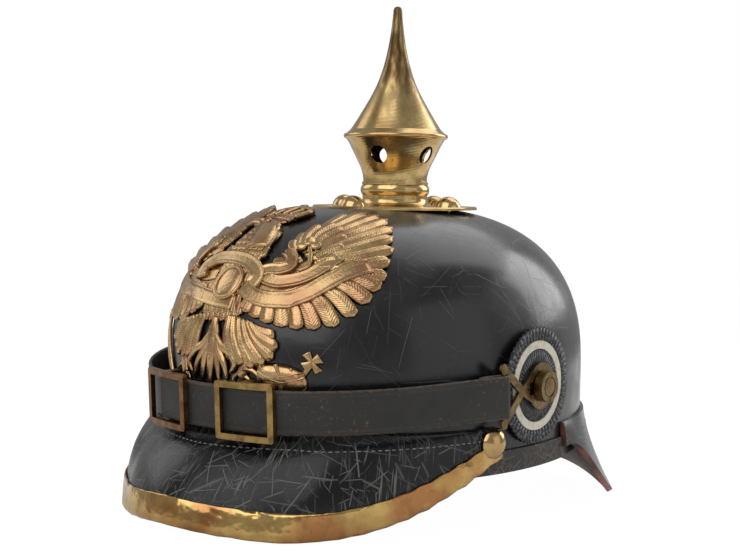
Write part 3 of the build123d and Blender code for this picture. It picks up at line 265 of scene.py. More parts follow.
# Brass sheet, spun, stamped or rolled, then left to tarnish: warm metal with brown bloom and copper-red patches
brassLooks = {
    "spunSpikeBrass": {
        "tone": "#d0b47c", "warm": "#ae8452", "tarnish": "#4b3823", "patchSize": 16.0, "patchShare": 0.6,
        "speckSize": 1.5, "speckShare": 0.5, "roughness": (0.16, 0.42), "dentSize": 9.0, "dentDepth": 0.05,
        "darkFrom": 158.0, "darkTo": 190.0, "ringLines": 0.012,
    },
    "brightStudBrass": {
        "tone": "#c4a673", "warm": "#a98258", "tarnish": "#5f4930", "patchSize": 7.0, "patchShare": 0.35,
        "speckSize": 1.1, "speckShare": 0.35, "roughness": (0.16, 0.34), "dentSize": 4.0, "dentDepth": 0.06,
    },
    "rolledTrimBrass": {
        "tone": "#cdac6c", "warm": "#a26642", "tarnish": "#6a4526", "patchSize": 17.0, "patchShare": 0.75,
        "speckSize": 2.4, "speckShare": 0.3, "roughness": (0.13, 0.3), "dentSize": 8.0, "dentDepth": 0.45,
    },
    "yellowBuckleBrass": {
        "tone": "#a38755", "warm": "#7d6240", "tarnish": "#453722", "patchSize": 5.0, "patchShare": 0.8,
        "speckSize": 0.9, "speckShare": 0.6, "roughness": (0.28, 0.5), "dentSize": 3.0, "dentDepth": 0.1,
    },
    "copperyBuckleBrass": {
        "tone": "#8a6648", "warm": "#6f4c36", "tarnish": "#3a2a1e", "patchSize": 5.0, "patchShare": 0.8,
        "speckSize": 0.9, "speckShare": 0.6, "roughness": (0.3, 0.5), "dentSize": 3.0, "dentDepth": 0.1,
    },
    "agedHookBronze": {
        "tone": "#86704a", "warm": "#665036", "tarnish": "#33291c", "patchSize": 4.5, "patchShare": 0.8,
        "speckSize": 0.8, "speckShare": 0.7, "roughness": (0.3, 0.52), "dentSize": 2.4, "dentDepth": 0.08,
    },
    "stampedPlateBrass": {
        "tone": "#c6a677", "warm": "#b08462", "tarnish": "#4a3420", "patchSize": 13.0, "patchShare": 0.8,
        "speckSize": 1.3, "speckShare": 0.35, "roughness": (0.24, 0.4), "dentSize": 1.2, "dentDepth": 0.06,
        "hollows": "stampRise", "barbs": "barbPlace", "barbSpacing": 1.0, "barbDepth": 0.03,
    },
}
# What all the brass shares: the same patches, as (low, high, detail, turn), and shares of the values above
brassWear = {
    "warmth": (0.42, 0.62, 4.0), "specks": (0.56, 0.74, 3.0), "film": (0.5, 0.72, 6.0, (20, 40, 60)), "filmSize": 0.6,
    "filmShare": 0.7, "streaks": ((3.0, 3.0, 14.0), 0.2, 0.55, 4.0), "streakShare": 0.95, "dents": (0.2, 0.8, 2.0),
    "hollowTo": 0.55, "hollowPatinaAndShade": 0.9, "barbSway": 0.4, "lathe": {"Scale": 0.5, "Detail": 4.0},
}


def brassFinish(name):
    look, wear = brassLooks[name], brassWear
    material, tree, skin = startMaterial(name)
    warmth = blotches(tree, look["patchSize"], *wear["warmth"])
    specks = blotches(tree, look["speckSize"], *wear["specks"])
    film = blotches(tree, look["patchSize"] * wear["filmSize"], *wear["film"])
    tone = blend(tree, combine(tree, "MULTIPLY", warmth, look["patchShare"]), look["tone"], look["warm"])
    dark = combine(tree, "MULTIPLY", specks, look["speckShare"])
    dark = combine(tree, "MAXIMUM", dark, combine(tree, "MULTIPLY", film, look["patchShare"] * wear["filmShare"]))
    if "darkFrom" in look:
        coords = addNode(tree, "ShaderNodeTexCoord")
        split = addNode(tree, "ShaderNodeSeparateXYZ", None, {0: (coords, "Object")})
        ends = {1: look["darkFrom"] / perMetre, 2: look["darkTo"] / perMetre}
        rise = addNode(tree, "ShaderNodeMapRange", None, {0: (split, 2), **ends})
        streak = blotches(tree, *wear["streaks"])
        dark = combine(tree, "MAXIMUM", dark, combine(tree, "MULTIPLY", rise, streak, wear["streakShare"]))
    height = combine(tree, "MULTIPLY", blotches(tree, look["dentSize"], *wear["dents"]), look["dentDepth"])
    # Darker in the stamp's hollows, where the stampRise share is low: dark patina that the plate has there, and painted
    # shade of the recesses
    if "hollows" in look:
        rise = addNode(tree, "ShaderNodeAttribute", {"attribute_name": look["hollows"]})
        ends = {1: 0.0, 2: wear["hollowTo"], 3: wear["hollowPatinaAndShade"], 4: 0.0}
        low = addNode(tree, "ShaderNodeMapRange", None, {0: (rise, "Fac"), **ends})
        dark = combine(tree, "MAXIMUM", dark, low)
        spot = addNode(tree, "ShaderNodeAttribute", {"attribute_name": look["barbs"]})
        settings = {"wave_type": "BANDS", "bands_direction": "Y", "wave_profile": "SIN"}
        scale = 2 * math.pi / 20 / look["barbSpacing"]  # a wave of scale 1 has 20 / (2 pi) bands to a unit
        comb = addNode(tree, "ShaderNodeTexWave", settings,
                       {"Vector": (spot, "Vector"), "Scale": scale, "Distortion": wear["barbSway"]})
        height = combine(tree, "ADD", height, combine(tree, "MULTIPLY", (comb, "Fac"), look["barbDepth"]))
    if "ringLines" in look:
        space = patternSpace(tree, (1.0, 1.0, 1.0))
        spun = addNode(tree, "ShaderNodeTexWave", {"bands_direction": "Z"}, {"Vector": space, **wear["lathe"]})
        height = combine(tree, "ADD", height, combine(tree, "MULTIPLY", (spun, "Fac"), look["ringLines"]))
    tone = blend(tree, dark, tone, look["tarnish"])
    rough = addNode(tree, "ShaderNodeMapRange", None, {0: dark, 3: look["roughness"][0], 4: look["roughness"][1]})
    setSockets(tree, skin, {"Base Color": tone, "Roughness": rough, "Metallic": 1.0})
    raised(tree, skin, height, 1.0)
    return material


# Strap and lining leather, vegetable tanned: matt, brown where the black has rubbed off
hideLooks = {
    "rubbedStrapLeather": {
        "tone": "#161513", "second": "#1f1d1a", "rubbed": "#66503c", "fleckSize": 1.5, "fleckLow": 0.6,
        "roughness": 0.46, "grain": 0.7, "grainDepth": 0.09, "edge": 0.55,
    },
    "tannedLiningLeather": {
        "tone": "#7d5634", "second": "#5c3c24", "rubbed": "#39261a", "fleckSize": 5.0, "fleckLow": 0.56,
        "roughness": 0.6, "grain": 1.1, "grainDepth": 0.08, "edge": 0.5,
    },
}
hideWear = {
    "cloud": (9.0, 0.35, 0.65, 5.0), "area": (14.0, 0.42, 0.62, 2.0), "torn": (1.8, 0.36, 0.56, 4.0), "fleckSpan": 0.1,
    "fleckDetail": 6.0, "grain": (0.25, 0.75, 3.0), "creases": (4.5, 0.08), "creaseDepth": 0.05, "rubDulls": 0.2,
}


def hideFinish(name):
    look, wear = hideLooks[name], hideWear
    material, tree, skin = startMaterial(name)
    tone = blend(tree, blotches(tree, *wear["cloud"]), look["tone"], look["second"])
    fleckEnds = (look["fleckLow"], look["fleckLow"] + wear["fleckSpan"])
    fleck = blotches(tree, look["fleckSize"], *fleckEnds, wear["fleckDetail"])
    flecks = combine(tree, "MULTIPLY", fleck, blotches(tree, *wear["area"]))
    edge = addNode(tree, "ShaderNodeAttribute", {"attribute_name": "edgeWear"})
    edgeWear = combine(tree, "MULTIPLY", (edge, "Fac"), blotches(tree, *wear["torn"]), look["edge"])
    rubbed = combine(tree, "MAXIMUM", flecks, edgeWear)
    tone = blend(tree, rubbed, tone, look["rubbed"])
    dulls = {0: rubbed, 1: wear["rubDulls"], 2: look["roughness"]}
    setSockets(tree, skin, {
        "Base Color": tone, "Roughness": addNode(tree, "ShaderNodeMath", {"operation": "MULTIPLY_ADD"}, dulls)})
    grain = combine(tree, "MULTIPLY", blotches(tree, look["grain"], *wear["grain"]), look["grainDepth"])
    creases = combine(tree, "MULTIPLY", crazing(tree, *wear["creases"]), -wear["creaseDepth"])
    raised(tree, skin, combine(tree, "ADD", grain, creases), 1.0)
    return material


# Pressed tin rosette under black paint, with a painted band: dull black, rubbed grey on the flutes' crests
cockadeLook = {
    "paint": "#232325", "rubbed": "#6b6c6e", "band": "#d9d3c2", "bandDirt": "#9c917c", "roughness": 0.42,
    "bandInner": 15.0, "bandOuter": 18.2, "bandEdge": 0.15, "centre": (-13.0, -69.6), "dirt": (2.6, 0.45, 0.8, 5.0),
    "rub": (1.4, 0.5, 0.66, 4.0), "crestRub": 0.9, "faceRub": 0.3, "dirtShare": 0.6, "dirtDepth": 0.03,
}


def cockadeFinish(name, fluted):
    look = cockadeLook
    material, tree, skin = startMaterial(name)
    dirt = blotches(tree, *look["dirt"])
    rub = blotches(tree, *look["rub"])
    if fluted:
        crest = addNode(tree, "ShaderNodeAttribute", {"attribute_name": "crest"})
        share = combine(tree, "MULTIPLY", (crest, "Fac"), rub, look["crestRub"])
        tone = blend(tree, share, look["paint"], look["rubbed"])
    else:
        black = blend(tree, combine(tree, "MULTIPLY", rub, look["faceRub"]), look["paint"], look["rubbed"])
        cream = blend(tree, combine(tree, "MULTIPLY", dirt, look["dirtShare"]), look["band"], look["bandDirt"])
        coords = addNode(tree, "ShaderNodeTexCoord")
        centre = tuple(place(0, *look["centre"]))
        away = addNode(tree, "ShaderNodeVectorMath", {"operation": "SUBTRACT"}, {0: (coords, "Object"), 1: centre})
        flat = addNode(tree, "ShaderNodeVectorMath", {"operation": "MULTIPLY"}, {0: away, 1: (0, 1, 1)})
        reach = addNode(tree, "ShaderNodeVectorMath", {"operation": "LENGTH"}, {0: flat})
        inner, outer, edge = (look[key] / perMetre for key in ("bandInner", "bandOuter", "bandEdge"))
        inside = addNode(tree, "ShaderNodeMapRange", None, {0: (reach, "Value"), 1: inner - edge, 2: inner})
        ends = {1: outer, 2: outer + edge, 3: 1.0, 4: 0.0}
        outside = addNode(tree, "ShaderNodeMapRange", None, {0: (reach, "Value"), **ends})
        tone = blend(tree, combine(tree, "MULTIPLY", inside, outside), black, cream)
    setSockets(tree, skin, {"Base Color": tone, "Roughness": look["roughness"]})
    raised(tree, skin, dirt, look["dirtDepth"])
    return material


def steelFinish(name):  # forged steel, brushed by wear: cool grey with a dull brown film
    material, tree, skin = startMaterial(name)
    film = blotches(tree, 2.0, 0.4, 0.7, 5.0)
    rough = addNode(tree, "ShaderNodeMapRange", None, {0: film, 3: 0.3, 4: 0.6})
    setSockets(tree, skin, {
        "Base Color": blend(tree, film, "#8d8a85", "#5a4e42"), "Roughness": rough, "Metallic": 1.0})
    raised(tree, skin, film, 0.04)
    return material


def threadFinish(name):  # waxed linen thread: dark grey, with the grey of the rubbed holes
    material, tree, skin = startMaterial(name)
    fray = blotches(tree, 0.7, 0.35, 0.7, 3.0)
    setSockets(tree, skin, {"Base Color": blend(tree, fray, "#4a4846", "#9a968f"), "Roughness": 0.6})
    raised(tree, skin, fray, 0.05)
    return material


finishes = {name: leatherFinish(name) for name in leatherLooks}
finishes.update({name: brassFinish(name) for name in brassLooks})
finishes.update({name: hideFinish(name) for name in hideLooks})
finishes["paintedCockade"] = cockadeFinish("paintedCockade", False)
finishes["paintedFlutes"] = cockadeFinish("paintedFlutes", True)
finishes["dullForgedSteel"] = steelFinish("dullForgedSteel")
finishes["waxedLinenThread"] = threadFinish("waxedLinenThread")

slotFinish = {
    "black_leather": "lacqueredShellLeather", "worn_leather": "roughEdgeLeather", "strap_leather": "rubbedStrapLeather",
    "lining_leather": "tannedLiningLeather", "brass": "brightStudBrass", "stamped_brass": "stampedPlateBrass",
    "aged_brass": "agedHookBronze", "cockade_enamel": "paintedCockade", "steel": "dullForgedSteel",
}
nodeFinish = {
    "front_visor": "crackedVisorLeather", "rear_visor": "rearVisorLeather", "front_visor_trim": "rolledTrimBrass",
    "spike_cone": "spunSpikeBrass", "spike_neck": "spunSpikeBrass", "spike_base_plate": "spunSpikeBrass",
    "buckle_left": "yellowBuckleBrass", "buckle_right": "copperyBuckleBrass", "rear_spine": "rolledTrimBrass",
}
nodeSlot = {part["node"]: part["material_slot"] for part in frame["record"]["subparts"]}
for name, node in nodes.items():
    node.data.materials.clear()
    node.data.materials.append(finishes[nodeFinish.get(name, slotFinish[nodeSlot[name]])])
print("finishes:", len(finishes))


def seatPiece(name, mesh, finish, body):  # a finished mesh as a smooth piece on its body
    mesh.polygons.foreach_set("use_smooth", [True] * len(mesh.polygons))
    mesh.materials.clear()
    mesh.materials.append(finishes[finish])
    piece = bpy.data.objects.new(name, mesh)
    scene.collection.objects.link(piece)
    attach(piece, body)
    return piece


def finishPiece(name, vertices, faces, finish, body, values=None):  # closed mesh, in its place
    mesh = bpy.data.meshes.new(name)
    mesh.from_pydata([tuple(v) for v in vertices], [], faces)
    for layer, (kind, data) in (values or {}).items():
        field = mesh.attributes.new(layer, kind, "POINT")
        if kind == "FLOAT_VECTOR":
            field.data.foreach_set("vector", [c for item in data for c in item])
        else:
            field.data.foreach_set("value", data)
    work = bmesh.new()
    work.from_mesh(mesh)
    bmesh.ops.recalc_face_normals(work, faces=work.faces)
    work.to_mesh(mesh)
    work.free()
    return seatPiece(name, mesh, finish, body)


def between(pair, share):
    return pair[0] + (pair[1] - pair[0]) * share


def closedTube(rings, vertices, faces):  # skin over rings of equal count, with both ends filled
    start, count = len(vertices), len(rings[0])
    for ring in rings:
        vertices.extend(ring)
    for i in range(len(rings) - 1):
        for j in range(count):
            k = (j + 1) % count
            low, high = start + i * count, start + (i + 1) * count
            faces.append((low + j, low + k, high + k, high + j))
    faces.append(tuple(range(start, start + count)))
    faces.append(tuple(range(start + (len(rings) - 1) * count, start + len(rings) * count)))


def meshTree(name):  # a node or a finished piece as a surface to cast at
    mesh = (nodes[name] if name in nodes else bpy.data.objects[name]).data
    return BVHTree.FromPolygons([v.co for v in mesh.vertices], [tuple(p.vertices) for p in mesh.polygons])


shellTree = meshTree("leather_shell")

# Drawing plane of the stamped plate: it leans back against the dome, p to the wearer's left, q up
plateField = {
    "lean": 33.0, "pFrom": -63.0, "pTo": 63.0, "qFrom": -128.0, "qTo": -12.0, "step": 1.5, "smooth": 4, "castFrom": 400,
    "slopeSpan": 2,
}
leanSine, leanCosine = math.sin(math.radians(plateField["lean"])), math.cos(math.radians(plateField["lean"]))


def offPlane(p, q, depth):  # a point of the drawing plane, a depth off it
    return place(p, q * leanSine - depth * leanCosine, q * leanCosine + depth * leanSine)


def measureDepths():  # how far the shell reaches along the plane's normal, on a grid
    look = plateField
    columns = int((look["pTo"] - look["pFrom"]) / look["step"]) + 1
    rows = int((look["qTo"] - look["qFrom"]) / look["step"]) + 1
    out = placeTurn(0, -leanCosine, leanSine)
    depths = []
    for i in range(columns):
        line = []
        for j in range(rows):
            far = offPlane(look["pFrom"] + i * look["step"], look["qFrom"] + j * look["step"], look["castFrom"])
            hit = shellTree.ray_cast(far, -out)[3]
            line.append(look["castFrom"] - hit * perMetre if hit is not None else None)
        last = next(d for d in line if d is not None)
        for j, d in enumerate(line):
            last = d if d is not None else last
            line[j] = last
        depths.append(line)
    for _ in range(look["smooth"]):
        for i in range(1, columns - 1):
            for j in range(1, rows - 1):
                near = depths[i - 1][j] + depths[i + 1][j] + depths[i][j - 1] + depths[i][j + 1]
                depths[i][j] = (4 * depths[i][j] + near) / 8
    return depths


shellDepths = measureDepths()


def depthAt(p, q):
    i = (p - plateField["pFrom"]) / plateField["step"]
    j = (q - plateField["qFrom"]) / plateField["step"]
    i = min(max(i, 0), len(shellDepths) - 1.001)
    j = min(max(j, 0), len(shellDepths[0]) - 1.001)
    a, b = int(i), int(j)
    u, v = i - a, j - b
    low = shellDepths[a][b] * (1 - v) + shellDepths[a][b + 1] * v
    high = shellDepths[a + 1][b] * (1 - v) + shellDepths[a + 1][b + 1] * v
    return low * (1 - u) + high * u


def onShell(p, q, rise):  # point of the plate, a rise off the leather
    span = plateField["slopeSpan"]
    slopeP = (depthAt(p + span, q) - depthAt(p - span, q)) / (2 * span)
    slopeQ = (depthAt(p, q + span) - depthAt(p, q - span)) / (2 * span)
    normal = Vector((-slopeP, -slopeQ, 1)).normalized() * rise
    return offPlane(p + normal.x, q + normal.y, depthAt(p, q) + normal.z)


def smoothLine(points, count):  # Catmull-Rom line through drawn points
    ends = [points[0]] + list(points) + [points[-1]]
    spans = len(points) - 1
    line = []
    for step in range(count):
        t = step / (count - 1) * spans
        i = min(int(t), spans - 1)
        t -= i
        a, b, c, d = ends[i:i + 4]
        line.append(tuple(
            0.5 * (2 * q + (r - p) * t + (2 * p - 5 * q + 4 * r - s) * t * t + (3 * q - p - 3 * r + s) * t ** 3)
            for p, q, r, s in zip(a, b, c, d)
        ))
    return line


# Each stroke of the die is a closed form that lies on the leather: points across it, and heights in millimetres
strokeForms = {
    "feather": {"across": 10, "crown": 0.7, "quill": 0.4, "slant": 0.35, "shape": "feather"},
    "leaf": {"across": 8, "crown": 1.0, "quill": 0.25, "slant": 0.0, "shape": "leaf"},
    "round": {"across": 8, "crown": 1.0, "quill": 0.0, "slant": 0.0, "shape": "even"},
    "band": {"across": 10, "crown": 0.0, "quill": 0.0, "slant": 0.0, "shape": "even"},
}
widthShapes = {  # share of the half width along a stroke, from 0 at its root to 1 at its tip
    "feather": lambda t: (0.5 + 0.5 * min(t / 0.5, 1)) * math.sqrt(max(1 - max((t - 0.8) / 0.2, 0) ** 2, 0.02)),
    "leaf": lambda t: math.sin(math.pi * min(0.12 + 0.88 * t, 0.985)) ** 0.7,
    "point": lambda t: 1 - 0.93 * t ** 1.5,
    "flare": lambda t: 0.3 + 0.7 * t,
    "ball": lambda t: math.sqrt(max(1 - (2 * t - 1) ** 2, 0.02)),
    "even": lambda t: 1.0,
}
strikeLook = {
    "edgePower": 2.4, "endSlope": 1.3, "quillShare": 0.16, "quillFade": 0.5, "borderFrom": 0.75, "borderRise": 0.45,
    "barbLean": 0.9, "footShare": 0.9, "back": 0.5, "hollow": 0.25,
}
plateMesh = {"vertices": [], "faces": [], "rise": [], "barb": []}


def strike(form, points, halfWidth, base, crown=None, shape=None, lift=0.0, steps=None):
    look, profile = strikeLook, strokeForms[form]
    line = smoothLine(points, steps or max(6, 5 * len(points)))
    crown = profile["crown"] if crown is None else crown
    widthAt = widthShapes[shape or profile["shape"]]
    rings, travelled = [], 0.0
    for i, (p, q) in enumerate(line):
        t = i / (len(line) - 1)
        before, after = line[max(i - 1, 0)], line[min(i + 1, len(line) - 1)]
        run = Vector((after[0] - before[0], after[1] - before[1])).normalized()
        side = Vector((-run.y, run.x))
        travelled += math.dist(before, (p, q))
        half = halfWidth * widthAt(t)
        ring = []
        for k in range(profile["across"] + 1):
            u = 2 * k / profile["across"] - 1
            arch = math.sqrt(max(1 - abs(u) ** look["edgePower"], 0))
            height = crown * arch * min(half / halfWidth * look["endSlope"], 1)
            height += profile["quill"] * math.exp(-(u / look["quillShare"]) ** 2) * (1 - look["quillFade"] * t)
            height += profile["slant"] * u
            shown, barb = (height + look["hollow"]) / (crown + 2 * look["hollow"]), (0.0, 0.0, 0.0)
            if form == "band":
                height += look["borderRise"] if abs(u) > look["borderFrom"] else 0.0
                shown = look["borderRise"] + height
            elif form == "feather":
                barb = (u, travelled + abs(u) * half * look["barbLean"], 0.0)
            ring.append(onShell(p + side.x * half * u, q + side.y * half * u, base + lift * t * t + height))
            plateMesh["rise"].append(shown if form == "band" else min(max(shown, 0), 1))
            plateMesh["barb"].append(barb)
        for u in (look["footShare"], -look["footShare"]):
            ring.append(onShell(p + side.x * half * u, q + side.y * half * u, look["back"]))
            plateMesh["rise"].append(0.0)
            plateMesh["barb"].append((0.0, 0.0, 0.0))
        rings.append(ring)
    closedTube(rings, plateMesh["vertices"], plateMesh["faces"])


fanLook = {"lap": 0.28, "climb": 0.1, "steps": 12}


# Feathers side by side, every other one raised
def strikeFan(roots, tips, halfWidth, base, lift=0.0, bow=0.0, crown=None):
    for i, (root, tip) in enumerate(zip(roots, tips)):
        middle = ((root[0] + tip[0]) / 2 + (tip[1] - root[1]) * bow, (root[1] + tip[1]) / 2 + (root[0] - tip[0]) * bow)
        layer = base + fanLook["lap"] * (i % 2) + fanLook["climb"] * i / len(tips)
        strike("feather", [root, middle, tip], halfWidth, layer, crown, lift=lift, steps=fanLook["steps"])


# What the die shows, in millimetres on the drawing plane: wings, ribbons, head, legs, tail, orb and sceptre.
# A wing's layer is its feathers' roots and tips. Another stroke is its form, line, half width, base, crown and shape
nearWing = {
    "outer": (
        ((16, -55), (17, -56), (18.5, -58), (20.5, -60), (22.5, -61.5), (24.5, -63), (27, -64.5), (30, -66),
         (33, -67.5)),
        ((17.6, -31.5), (22, -28.2), (28, -28.2), (34, -30.6), (39.4, -34.8), (43.6, -40.6), (47.2, -46.2),
         (49.4, -52.6), (51.4, -59)),
    ),
    "under": (
        ((38, -66), (36, -69.5), (33.5, -73), (30.5, -76), (27, -78.6), (23.5, -80), (20, -81), (16, -81),
         (12.5, -80.5), (9.5, -79)),
        ((51.9, -65.6), (50.8, -72.6), (48, -80), (43.2, -86.4), (37.4, -89.8), (31.4, -91.8), (25.4, -92.6),
         (19.4, -92.6), (13.6, -91.6), (8.6, -90)),
    ),
    "covert": (
        ((20.5, -63.5), (18.5, -61), (19, -59.5), (20, -58), (21.5, -57), (23.5, -57.5), (25.5, -59), (27.5, -61.5),
         (29, -64)),
        ((15, -60), (14.2, -55.4), (14.6, -50), (16.6, -44), (21, -41), (26, -43), (30.6, -47.2), (33.2, -53),
         (34.6, -59)),
    ),
}
farMirror = {"from": -4, "to": -6, "share": 0.86}


def acrossPlate(points):  # the far wing answers the near one, drawn narrower
    return tuple((farMirror["to"] - (p - farMirror["from"]) * farMirror["share"], q) for p, q in points)


farWing = {layer: tuple(acrossPlate(line) for line in lines) for layer, lines in nearWing.items()}
ribbons = (
    (((-40.5, -64.5), (-45, -69), (-39, -75.5), (-30, -79.6), (-17, -84), (-6, -86.4), (3, -87)), 3.0, 2.0),
    (((5, -80), (9.5, -82.6), (15, -83.9), (21, -83.4), (27, -81), (32, -77), (36.6, -70.4), (40.7, -64),
      (45.6, -58.6)), 3.1, 2.3),
    (((9.6, -74), (14, -75.6), (18.7, -76), (22.5, -74.8), (26.4, -72.6), (29.8, -69), (32.4, -64.3), (34.6, -58.4)),
     2.6, 2.0),
    (((-23, -76), (-23.4, -71), (-19, -68.2), (-12.7, -67.4), (-2.4, -68.4), (5, -71), (9.6, -75), (8.8, -79.4)),
     2.9, 2.6),
    (((15.4, -62), (19, -64.4), (20.6, -68), (17.6, -70.6), (13.4, -71.4), (9.6, -73.4)), 2.3, 2.3),
)
underRibbons = (
    (((4, -79), (12, -81.4), (20, -80.4), (26, -77), (31.4, -72), (36, -65.6), (39.4, -60.4)), 4.6, 0.5),
    (((8, -73), (15, -73.6), (22, -72), (26.4, -68), (29, -63)), 4.4, 0.5),
    (((12, -68), (17.4, -66), (21, -62)), 3.4, 0.4),
    (((-12, -79), (-20, -80.4), (-28, -77), (-34, -72), (-38, -67)), 4.6, 0.5),
    (((-14, -73), (-21, -73), (-27, -70), (-31, -66)), 4.4, 0.5),
)
headStrokes = (
    ("leaf", ((-6, -66), (-6, -47)), 11.0, 0.8, 1.4, "ball"),
    ("round", ((0, -62), (-2, -54), (-7, -47.6), (-13, -45.4), (-18, -45.8)), 6.2, 2.0, 1.8, "point"),
    ("round", ((-14.5, -44.2), (-19.4, -44), (-22.4, -46.6)), 2.2, 2.4, 1.2, "point"),
    ("round", ((-8.6, -46.6), (-6.6, -45.6)), 1.2, 3.6, 0.9, "ball"),
    ("leaf", ((-9, -44.5), (-9.4, -28.5)), 10.0, 0.9, 0.9, "ball"),
    ("band", ((-18.6, -40.4), (-9, -39.4), (-0.6, -41.4)), 1.8, 2.2, 0.0, "even"),
    ("round", ((-18, -38.6), (-20.4, -34.4), (-17, -30.4), (-9.4, -30)), 1.3, 1.9, 1.0, "even"),
    ("round", ((-13.6, -38), (-15, -34.2), (-13, -31.2), (-9.4, -30)), 1.1, 2.2, 1.0, "even"),
    ("round", ((-9, -37.8), (-9.4, -33.8), (-9.4, -30)), 1.1, 2.3, 1.0, "even"),
    ("round", ((-4.6, -38.2), (-3.6, -34.4), (-5.6, -31.4), (-9.4, -30)), 1.1, 2.2, 1.0, "even"),
    ("round", ((-1, -39.4), (0.8, -35), (-2, -31), (-9.4, -30)), 1.3, 1.9, 1.0, "even"),
    ("round", ((-11.4, -28.6), (-7.6, -28.4)), 1.6, 1.9, 1.3, "ball"),
)
legStrokes = (
    ("round", ((15.6, -106), (13.4, -109.6), (11.6, -112.6)), 2.2, 0.9, 0.9, "even"),
    ("leaf", ((12, -110.6), (15.4, -109.6), (19, -110.6), (20.6, -113)), 1.1, 1.2, 0.7, "leaf"),
    ("leaf", ((11.6, -112), (14.8, -112.8), (17.4, -115)), 1.1, 0.7, 0.6, "leaf"),
    ("leaf", ((11.2, -111.6), (8.6, -113.4), (8.6, -116)), 1.0, 0.6, 0.5, "leaf"),
    ("round", ((-22.4, -105), (-21.4, -109.6), (-20.4, -113)), 2.2, 0.9, 0.9, "even"),
    ("leaf", ((-20.6, -111), (-24.6, -110), (-28.6, -112.4)), 1.1, 0.9, 0.6, "leaf"),
    ("leaf", ((-20, -112.5), (-17.6, -115), (-18, -117.5)), 1.0, 0.6, 0.5, "leaf"),
    ("round", ((-19, -113), (-26, -114.6), (-33.6, -112)), 1.0, 0.7, 0.6, "even"),
    ("round", ((-33.4, -112), (-38.4, -104.4), (-44.6, -95), (-50.6, -85.6)), 1.3, 0.8, 1.1, "even"),
    ("round", ((-48.6, -88), (-52, -83)), 2.3, 0.9, 1.3, "ball"),
)
tailStrokes = (
    (((-5, -99), (-9, -103.4), (-14, -105.6), (-17.2, -109.4), (-14.4, -113)), 1.8, 1.2),
    (((-2.4, -99), (1.4, -103.4), (6, -105.2), (9, -108.8), (6.6, -112.4)), 1.8, 1.2),
    (((-4.8, -98), (-7.6, -104.6), (-11.4, -109.4), (-13, -115)), 1.7, 1.0),
    (((-2.6, -98), (0, -104.6), (3.6, -109.4), (5.6, -114.8)), 1.7, 1.0),
    (((-4.6, -95), (-7, -104), (-8.6, -117.2)), 1.9, 0.8),
    (((-3.4, -95), (-1.2, -104), (1.6, -117)), 1.9, 0.8),
    (((-4, -93), (-3.6, -104), (-3.2, -118)), 2.3, 1.2),
)
regaliaStrokes = (
    ("round", ((18.4, -110.6), (28, -110), (37.2, -107.8)), 5.2, 0.7, 1.9, "ball"),
    ("band", ((19.6, -108.4), (28, -109.8), (36.2, -105.8)), 1.0, 2.2, 0.0, "even"),
    ("round", ((26, -105.4), (28.4, -109.6), (28.4, -114)), 0.9, 2.0, 0.6, "even"),
    ("round", ((31.4, -105.2), (33.4, -108.6), (33, -112.6)), 0.7, 1.7, 0.5, "even"),
    ("round", ((36, -105.8), (38, -102)), 0.9, 0.7, 0.7, "even"),
    ("round", ((38.2, -101), (40.8, -98.6)), 2.0, 0.9, 0.6, "flare"),
    ("round", ((38.2, -101), (35.6, -103.4)), 1.8, 0.9, 0.6, "flare"),
    ("round", ((38.2, -101), (36, -98.6)), 2.0, 0.9, 0.6, "flare"),
    ("round", ((38.2, -101), (40.6, -103.4)), 2.0, 0.9, 0.6, "flare"),
    ("round", ((25, -70), (27.4, -67), (25.6, -62), (23, -58.6)), 0.75, 2.9, 0.6, "even"),
    ("leaf", ((22.4, -58), (20, -53.8)), 2.1, 2.9, 0.9, "ball"),
    ("leaf", ((22, -58.4), (18.2, -58.8)), 2.0, 2.9, 0.9, "ball"),
    ("leaf", ((23, -58), (26.4, -56.2)), 2.0, 2.9, 0.9, "ball"),
    ("round", ((-32.6, -69), (-34.4, -66), (-32.6, -61.4), (-30, -58.4)), 0.75, 2.9, 0.6, "even"),
    ("leaf", ((-29.4, -58), (-27.4, -53.8)), 2.1, 2.9, 0.9, "ball"),
    ("leaf", ((-29, -58.4), (-25.4, -58.8)), 2.0, 2.9, 0.9, "ball"),
    ("leaf", ((-30, -58), (-33.2, -56.2)), 2.0, 2.9, 0.9, "ball"),
)


def strikeWing(wing, lift, bow):
    strikeFan(*wing["outer"], 3.1, 0.8, lift, bow)
    strikeFan(*wing["under"], 3.2, 0.9, 0.0, -bow)
    strikeFan(*wing["covert"], 2.3, 1.5, 0.0, -bow)


scaleLook = {
    "spread": 1.45, "root": 3.4, "tip": -2.6, "splay": 1.06, "climb": 0.16, "crown": 0.5, "rows": 7, "steps": 6,
}


def strikeScales(centre, reach, halfWidth, base):  # overlapping breast and neck feathers, lowest row first
    look = scaleLook
    for row, (p, q) in enumerate(smoothLine(centre, look["rows"])):
        half = between(reach, row / (look["rows"] - 1))
        count = max(int(2 * half / (halfWidth * look["spread"])), 2) + row % 2
        for i in range(count):
            offset = (i + 0.5 - count / 2) * halfWidth * look["spread"]
            line = [(p + offset, q + look["root"]), (p + offset, q), (p + offset * look["splay"], q + look["tip"])]
            strike("feather", line, halfWidth, base + look["climb"] * row, look["crown"], steps=look["steps"])


